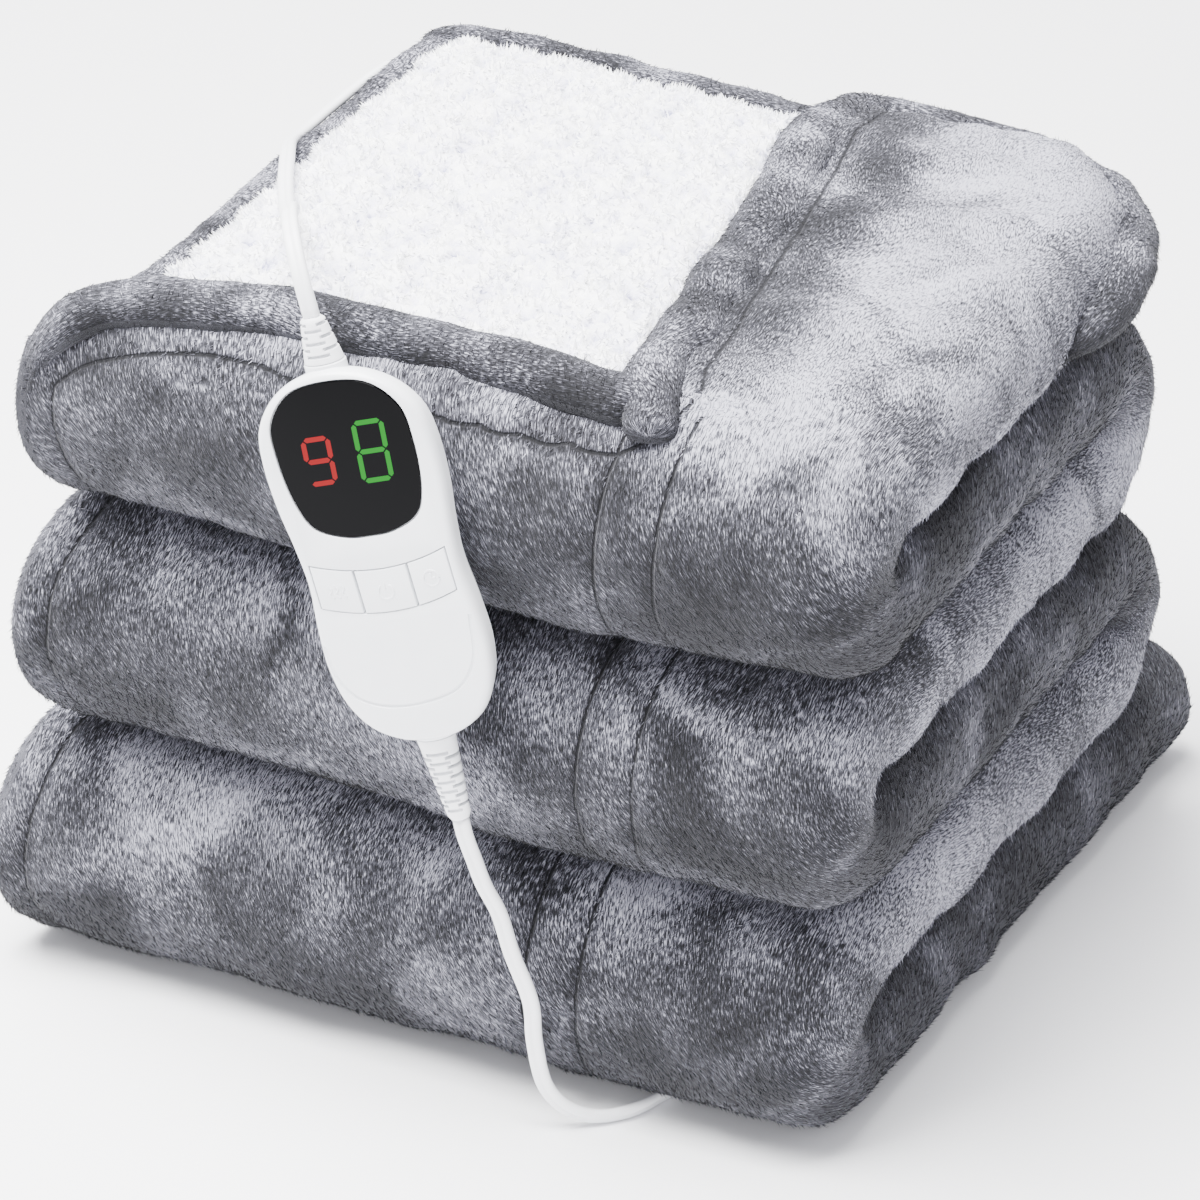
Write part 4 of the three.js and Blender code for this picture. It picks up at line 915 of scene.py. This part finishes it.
FACE_MIDDLE = np.array([159.5, -30.9, 220.1])
UP_THE_FACE = np.array([-0.282527, -0.008659, 0.959220])
OUT_OF_FACE = np.cross(ON_THE_FACE, UP_THE_FACE)
CASE_HALF = [   # the case's right half, x and y
    (0, -63.5), (9, -62.6), (19.5, -57), (26.2, -47), (29.2, -33), (28.8, -18), (27.4, -2), (28.4, 12),
    (30.4, 28), (30.7, 44), (28.8, 55), (22.4, 64), (13, 70), (0, 72.6),
]
CASE_LEVELS = [   # z, drawn in across and at the ends
    (-20, 12, 16), (-19.4, 9.6, 12.4), (-18, 6.6, 8.4), (-14, 2.5, 4), (-9.25, .45, 1.6), (-9.2, .85, 2.0),
    (-8.9, .85, 2.0), (-8.85, .4, 1.5), (-4, 0, 0), (-2.4, .2, .2), (-1.4, .55, .5), (-.7, 1.05, .95),
    (-.2, 1.75, 1.6), (0, 2.7, 2.5),
]
CASE_HALF_WIDTH = 30.7
CASE_MIDDLE_Y, CASE_HALF_LENGTH = 4.55, 68.05
DISPLAY_HALF = [(0, 12.9), (8, 13.4), (18.6, 18.2), (22.6, 27), (24.6, 45), (23.2, 57.4), (14.6, 67),
                (0, 69.6)]
KEY_ROW = {"top": 1.2, "bottom": -15.0, "rise": 4.6, "half": 24.6, "split": 9.6}
PANEL_GROOVE = [(-27.6, -23.8), (-26, -36), (-21.2, -43.8), (-12.4, -48.2), (1.5, -48.9), (15.3, -45.1),
                (23.1, -36.2), (26.4, -19.6)]
GROOVE_RADIUS, GROOVE_Z = 0.8, 0.14
MARK_RADIUS, MARK_Z = 0.42, 0.18
RELIEF_X, RELIEF_Z, RELIEF_FLATNESS = -1.2, -8.5, 0.72
SLOTS_FROM, SLOTS_TO = 0.17, 0.87    # shares of the relief's length
SLOT_SPACING, SLOT_HALF = 2.5, 0.65
SIDE_SLOTS = [(-1.4, -.38, -1.4, 1.4), (.38, 1.4, -1.4, 1.4)]     # x and z, in half widths
FLAT_SLOTS = [(-.62, .62, .45, 1.4), (-.62, .62, -1.4, -.45)]


def on_control(points):
    """Points in the control's own frame, carried to where it lies."""
    return FACE_MIDDLE + np.asarray(points, float) @ np.array([ON_THE_FACE, UP_THE_FACE, OUT_OF_FACE])


def mirrored_outline(half, count):
    """A smooth closed outline from its right half, which runs from the lower end to the upper."""
    half = np.asarray(half, float)
    loop = np.vstack([half, half[1:-1][::-1] * (-1, 1)])
    loop = np.vstack([loop[-3:], loop, loop[:4]])
    fine = smooth_line(np.column_stack([loop, np.zeros(len(loop))]), 0.2)[:, :2]
    gaps = np.linalg.norm(fine - half[0], axis=1)
    middle = len(fine) // 2
    once = fine[np.argmin(gaps[:middle]):middle + np.argmin(gaps[middle:]) + 1]
    return once[np.linspace(0, len(once) - 1, count + 1).round().astype(int)[:-1]]


def prism(outline, levels, middle=(0.0, 0.0), reach=(1.0, 1.0)):
    """Rings of an outline, drawn in by each level's margin towards its middle: z, margin."""
    outline = np.asarray(outline, float) - middle
    return lofted([[(x * (1 - m / reach[0]) + middle[0], y * (1 - m / reach[1]) + middle[1], z)
                    for x, y in outline] for z, m in levels])


def on_case(name, shape, finish=None):
    points, faces = shape
    return add_piece(name, on_control(points), faces, finish)


def carved(piece, cutter):
    """Takes the cutter's shape out of the piece."""
    cut = piece.modifiers.new("cut", "BOOLEAN")
    cut.operation, cut.solver, cut.object = "DIFFERENCE", "EXACT", cutter
    settled(piece)
    bpy.data.objects.remove(cutter)


def gathered(shapes):
    """Several closed shapes as one: their points and faces."""
    points, faces = [], []
    for part_points, part_faces in shapes:
        faces += [[k + len(points) for k in face] for face in part_faces]
        points += list(map(tuple, part_points))
    return np.array(points), faces


def edged(piece, sharp_deg=32):
    piece.data.polygons.foreach_set("use_smooth", [True] * len(piece.data.polygons))
    piece.data.set_sharp_from_angle(angle=math.radians(sharp_deg))


def arc_y(x, base):
    return base + KEY_ROW["rise"] * (x / KEY_ROW["half"]) ** 2


def key_shape(low_x, high_x, levels):
    """A key or its pocket between the row's two arcs; levels are z and margin."""
    rings = []
    for z, m in levels:
        xs = np.linspace(low_x + m, high_x - m, 14)
        ring = [(x, arc_y(x, KEY_ROW["bottom"]) + m, z) for x in xs]
        rings.append(ring + [(x, arc_y(x, KEY_ROW["top"]) - m, z) for x in xs[::-1]])
    return lofted(rings)


def bead(points, radius, sides=10):
    """A round bead along points in the control's frame."""
    line = np.asarray(points, float)
    tangent, across = carried_frames(line, np.array([0.0, 0.0, 1.0]))
    up = np.cross(tangent, across)
    turns = np.linspace(0, 2 * math.pi, sides, endpoint=False)
    return lofted([[p + radius * (math.cos(t) * s + math.sin(t) * n) for t in turns]
                   for p, s, n in zip(line, across, up)])


# Gloss ABS, injection moulded: near white, very slightly uneven, polished on the face.
shell_white, tree = new_material("abs_gloss_moulded")
where = node(tree, "ShaderNodeTexCoord")
flow = node(tree, "ShaderNodeTexNoise", {"Scale": 90.0, "Detail": 3.0, "Vector": where.outputs["Object"]})
peel = node(tree, "ShaderNodeTexNoise", {"Scale": 1400.0, "Detail": 2.0, "Vector": where.outputs["Object"]})
tint = node(tree, "ShaderNodeMix",
            {"data_type": "RGBA", 6: srgb("#e3e5e9"), 7: srgb("#eef0f2"), 0: flow.outputs[0]})
dull = node(tree, "ShaderNodeMapRange", {"To Min": 0.18, "To Max": 0.30, "Value": flow.outputs[0]})
grain = node(tree, "ShaderNodeBump", {"Strength": 0.06, "Distance": 0.0001, "Height": peel.outputs[0]})
shade(tree, {"IOR": 1.53, "Base Color": tint.outputs[2], "Roughness": dull.outputs[0],
             "Normal": grain.outputs[0]})

outline = mirrored_outline(CASE_HALF, 112)
outline = outline - (0, CASE_MIDDLE_Y)
case = lofted([[(x * (1 - a / CASE_HALF_WIDTH), CASE_MIDDLE_Y + y * (1 - e / CASE_HALF_LENGTH), z)
                for x, y in outline] for z, a, e in CASE_LEVELS])
control_case = on_case("control_case", case, shell_white)
display_outline = mirrored_outline(DISPLAY_HALF, 88)
display_middle, display_reach = (0.0, 41.5), (24.6, 28.0)
pocket = prism(display_outline, [(-1.6, 0), (-.3, 0), (-.05, -.18), (.15, -.5)], display_middle,
               display_reach)
carved(control_case, on_case("cutter", pocket))
carved(control_case, on_case("cutter", key_shape(-KEY_ROW["half"], KEY_ROW["half"],
                                                 [(-5.2, 0), (-.25, 0), (-.03, -.15), (.1, -.4)])))
groove = smooth_line([(x, y, GROOVE_Z) for x, y in PANEL_GROOVE], 1.2)
carved(control_case, on_case("cutter", bead(groove, GROOVE_RADIUS)))
edged(control_case)

keys = []
for name, body, low, high in (("key_temperature", "left_key", -KEY_ROW["half"], -KEY_ROW["split"]),
                              ("key_on_off", "power_key", -KEY_ROW["split"], KEY_ROW["split"]),
                              ("key_timer", "right_key", KEY_ROW["split"], KEY_ROW["half"])):
    key = on_case(name, key_shape(low, high, [(-3.8, .45), (-.12, .45), (.08, .55), (.2, .85)]),
                  shell_white)
    edged(key)
    keys.append((key, body))


def arc(x, y, radius, start, end, count=26):
    return [(x + radius * math.cos(a), y + radius * math.sin(a), MARK_Z)
            for a in np.radians(np.linspace(start, end, count))]


# Plain marks raised on the keys: three waves of warmth, a ring with a bar, and a clock.
middle_y = (KEY_ROW["top"] + KEY_ROW["bottom"]) / 2
SIDE_MARK_X = 17
side_y = arc_y(SIDE_MARK_X, middle_y)
marks = [
    [[(x - SIDE_MARK_X + 0.5 * math.sin(t * 1.9), side_y + t, MARK_Z) for t in np.linspace(-2.6, 2.6, 15)]
     for x in (-2.2, 0, 2.2)],
    [arc(0, middle_y - 0.3, 2.7, 122, 418), [(0, middle_y + y, MARK_Z) for y in np.linspace(0.6, 3.1, 5)]],
    [arc(SIDE_MARK_X, side_y, 2.8, 0, 354),
     [(SIDE_MARK_X, side_y + y, MARK_Z) for y in np.linspace(0, 1.9, 5)],
     [(SIDE_MARK_X + x, side_y, MARK_Z) for x in np.linspace(0, 1.5, 5)]],
]
for (key, body), lines in zip(keys, marks):
    raised = [on_case("mark", bead(line, MARK_RADIUS, 8), shell_white) for line in lines]
    with bpy.context.temp_override(active_object=key, selected_editable_objects=[key] + raised):
        bpy.ops.object.join()
    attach(key, body)
for (key, body), name in zip(keys, ("key_left", "key_power", "key_right")):
    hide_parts(name)

# Black acrylic, polished: the lit figures show through it as red and green bars.
acrylic, tree = new_material("acrylic_black_polished")
where = node(tree, "ShaderNodeTexCoord")
film = node(tree, "ShaderNodeTexNoise", {"Scale": 240.0, "Detail": 3.0, "Vector": where.outputs["Object"]})
dull = node(tree, "ShaderNodeMapRange", {"To Min": 0.05, "To Max": 0.11, "Value": film.outputs[0]})
shade(tree, {"Base Color": srgb("#050506"), "Specular IOR Level": 0.05, "Roughness": dull.outputs[0]})
window_pane = on_case("window_pane",
                      prism(display_outline, [(-1.5, .42), (-.3, .42), (-.1, .55), (-.05, .9)],
                            display_middle, display_reach), acrylic)
edged(window_pane)
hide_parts("display_window")


def lit(name, colour, strength):
    """A lit figure's bars: black acrylic that glows evenly in one colour."""
    finish, tree = new_material(name)
    shade(tree, {"Base Color": srgb("#050505"), "Roughness": 0.3, "Specular IOR Level": 0.1,
                 "Emission Color": srgb(colour), "Emission Strength": strength})
    return finish


BAR_WIDTH, FIGURE_SLANT = 1.75, 0.087


def figure(name, x, y, width, height, bars, finish):
    """A seven-bar figure, leaning a little, as thin plates on the window."""
    corners = {"a": ((0, 2), (1, 2)), "b": ((1, 2), (1, 1)), "c": ((1, 1), (1, 0)), "d": ((0, 0), (1, 0)),
               "e": ((0, 1), (0, 0)), "f": ((0, 2), (0, 1)), "g": ((0, 1), (1, 1))}
    inner = np.array([width - BAR_WIDTH - height * FIGURE_SLANT, (height - BAR_WIDTH) / 2])
    plates = []
    for bar in bars:
        a, b = (np.array(corner) * inner + BAR_WIDTH / 2 for corner in corners[bar])
        way = unit(b - a)
        side = np.array([-way[1], way[0]]) * BAR_WIDTH / 2
        a, b = a + way * 0.35, b - way * 0.35
        shape = [a, a + way * BAR_WIDTH / 2 - side, b - way * BAR_WIDTH / 2 - side, b,
                 b - way * BAR_WIDTH / 2 + side, a + way * BAR_WIDTH / 2 + side]
        shape = [(x + p[0] + p[1] * FIGURE_SLANT, y + p[1]) for p in shape]
        plates.append(prism(shape, [(-.06, 0), (-.02, 0)]))
    return on_case(name, gathered(plates), finish)


figure_left = figure("figure_left", x=-15.8, y=33.3, width=12.0, height=17.5, bars="abcdfg",
                     finish=lit("lit_red", "#ff0010", 0.7))
figure_right = figure("figure_right", x=2.8, y=31.8, width=13.5, height=22.4, bars="abcdefg",
                      finish=lit("lit_green", "#00ff30", 0.5))
for figure_piece in (figure_left, figure_right):
    figure_piece.data.polygons.foreach_set("use_smooth", [False] * len(figure_piece.data.polygons))


def relief(name, start_y, way, length, root, tip):
    """An oval cone on the control's end, with slots cut in its two sides and its two flats in turn."""
    rings = []
    for t in np.linspace(0, 1, 18):
        half = root + (tip - root) * t
        half *= math.sqrt(1 - max(0, (t - 0.97) / 0.03) ** 2 * 0.35)
        rings.append([(RELIEF_X + half * math.cos(a), start_y + way * length * t,
                       RELIEF_Z + RELIEF_FLATNESS * half * math.sin(a))
                      for a in np.linspace(0, 2 * math.pi, 40, endpoint=False)])
    made = on_case(name, lofted(rings), flex_white)
    count = round(length / SLOT_SPACING)
    slots = []
    for i in range(count):
        share = SLOTS_FROM + (SLOTS_TO - SLOTS_FROM) * i / (count - 1)
        half, y = root + (tip - root) * share, start_y + way * length * share
        for low_x, high_x, low_z, high_z in SIDE_SLOTS if i % 2 else FLAT_SLOTS:
            low_x, high_x = RELIEF_X + half * low_x, RELIEF_X + half * high_x
            corners = [(low_x, y - SLOT_HALF), (high_x, y - SLOT_HALF), (high_x, y + SLOT_HALF),
                       (low_x, y + SLOT_HALF)]
            levels = [(RELIEF_Z + z * half * RELIEF_FLATNESS, 0) for z in (low_z, high_z)]
            slots.append(prism(corners, levels))
    carved(made, on_case("cutter", gathered(slots)))
    softened = made.modifiers.new("softened", "BEVEL")
    softened.width, softened.segments, softened.angle_limit = 0.00022, 2, math.radians(40)
    settled(made)
    edged(made, 40)
    return made


relief_mains = relief("relief_mains", start_y=74.1, way=1, length=15.4, root=7.0, tip=4.2)
relief_throw = relief("relief_throw", start_y=-65.0, way=-1, length=31.3, root=7.0, tip=4.0)

# Collars that the reliefs come out of: y from the end of the case, radius.
COLLAR = [(0, 7.0), (.4, 7.4), (9.8, 7.4), (10.2, 7.0)]
for name, start_y in (("stub_mains", 63.6), ("stub_throw", -64.7)):
    stub = lofted([[(RELIEF_X + r * math.cos(a), start_y + y, RELIEF_Z + RELIEF_FLATNESS * r * math.sin(a))
                    for a in np.linspace(0, 2 * math.pi, 40, endpoint=False)]
                   for y, r in COLLAR])
    piece = on_case(name, stub, shell_white)
    edged(piece)
    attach(piece, "throw")
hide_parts("control_housing")
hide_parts("strain_relief_mains")
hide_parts("strain_relief_throw")
for piece, label in ((control_case, "shell"), (window_pane, "display"), (figure_left, "display"),
                     (figure_right, "display"), (relief_mains, "cord"), (relief_throw, "cord")):
    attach(piece, "throw")


# Surroundings
# A white sweep under a broad overhead softbox, with a weak fill from the front.

floor = bpy.data.objects.new("floor", bpy.data.meshes.new("floor"))
reach = 6                            # metres
floor.data.from_pydata([(-reach, -reach, 0), (reach, -reach, 0), (reach, reach, 0), (-reach, reach, 0)],
                       [], [(0, 1, 2, 3)])
bpy.context.scene.collection.objects.link(floor)
paper, tree = new_material("paper_sweep")
where = node(tree, "ShaderNodeTexCoord")
fibre = node(tree, "ShaderNodeTexNoise", {"Scale": 400.0, "Vector": where.outputs["Object"]})
tint = node(tree, "ShaderNodeMix",
            {"data_type": "RGBA", 6: srgb("#fbfbfd"), 7: srgb("#ffffff"), 0: fibre.outputs[0]})
shade(tree, {"Roughness": 0.9, "Base Color": tint.outputs[2]})
floor.data.materials.append(paper)


def softbox(name, place, target, size, watts, tint):
    lamp = bpy.data.lights.new(name, "AREA")
    lamp.shape = "RECTANGLE"
    lamp.size, lamp.size_y = size
    lamp.energy = watts
    lamp.color = srgb(tint)[:3]
    made = bpy.data.objects.new(name, lamp)
    made.location = place
    made.rotation_euler = (Vector(target) - Vector(place)).to_track_quat("-Z", "Y").to_euler()
    bpy.context.scene.collection.objects.link(made)


softbox("overhead", place=(-0.35, -0.35, 1.8), target=(0.0, 0.0, 0.1), size=(1.4, 1.4), watts=238.0,
        tint="#ffffff")
softbox("front_fill", place=(0.7, -2.0, 0.8), target=(0.0, 0.0, 0.12), size=(1.4, 1.2), watts=15.0,
        tint="#f8f8ff")
world = bpy.data.worlds.new("room")
world.use_nodes = True
world.node_tree.nodes["Background"].inputs["Color"].default_value = srgb("#f6f6fc")
world.node_tree.nodes["Background"].inputs["Strength"].default_value = 1.2
bpy.context.scene.world = world
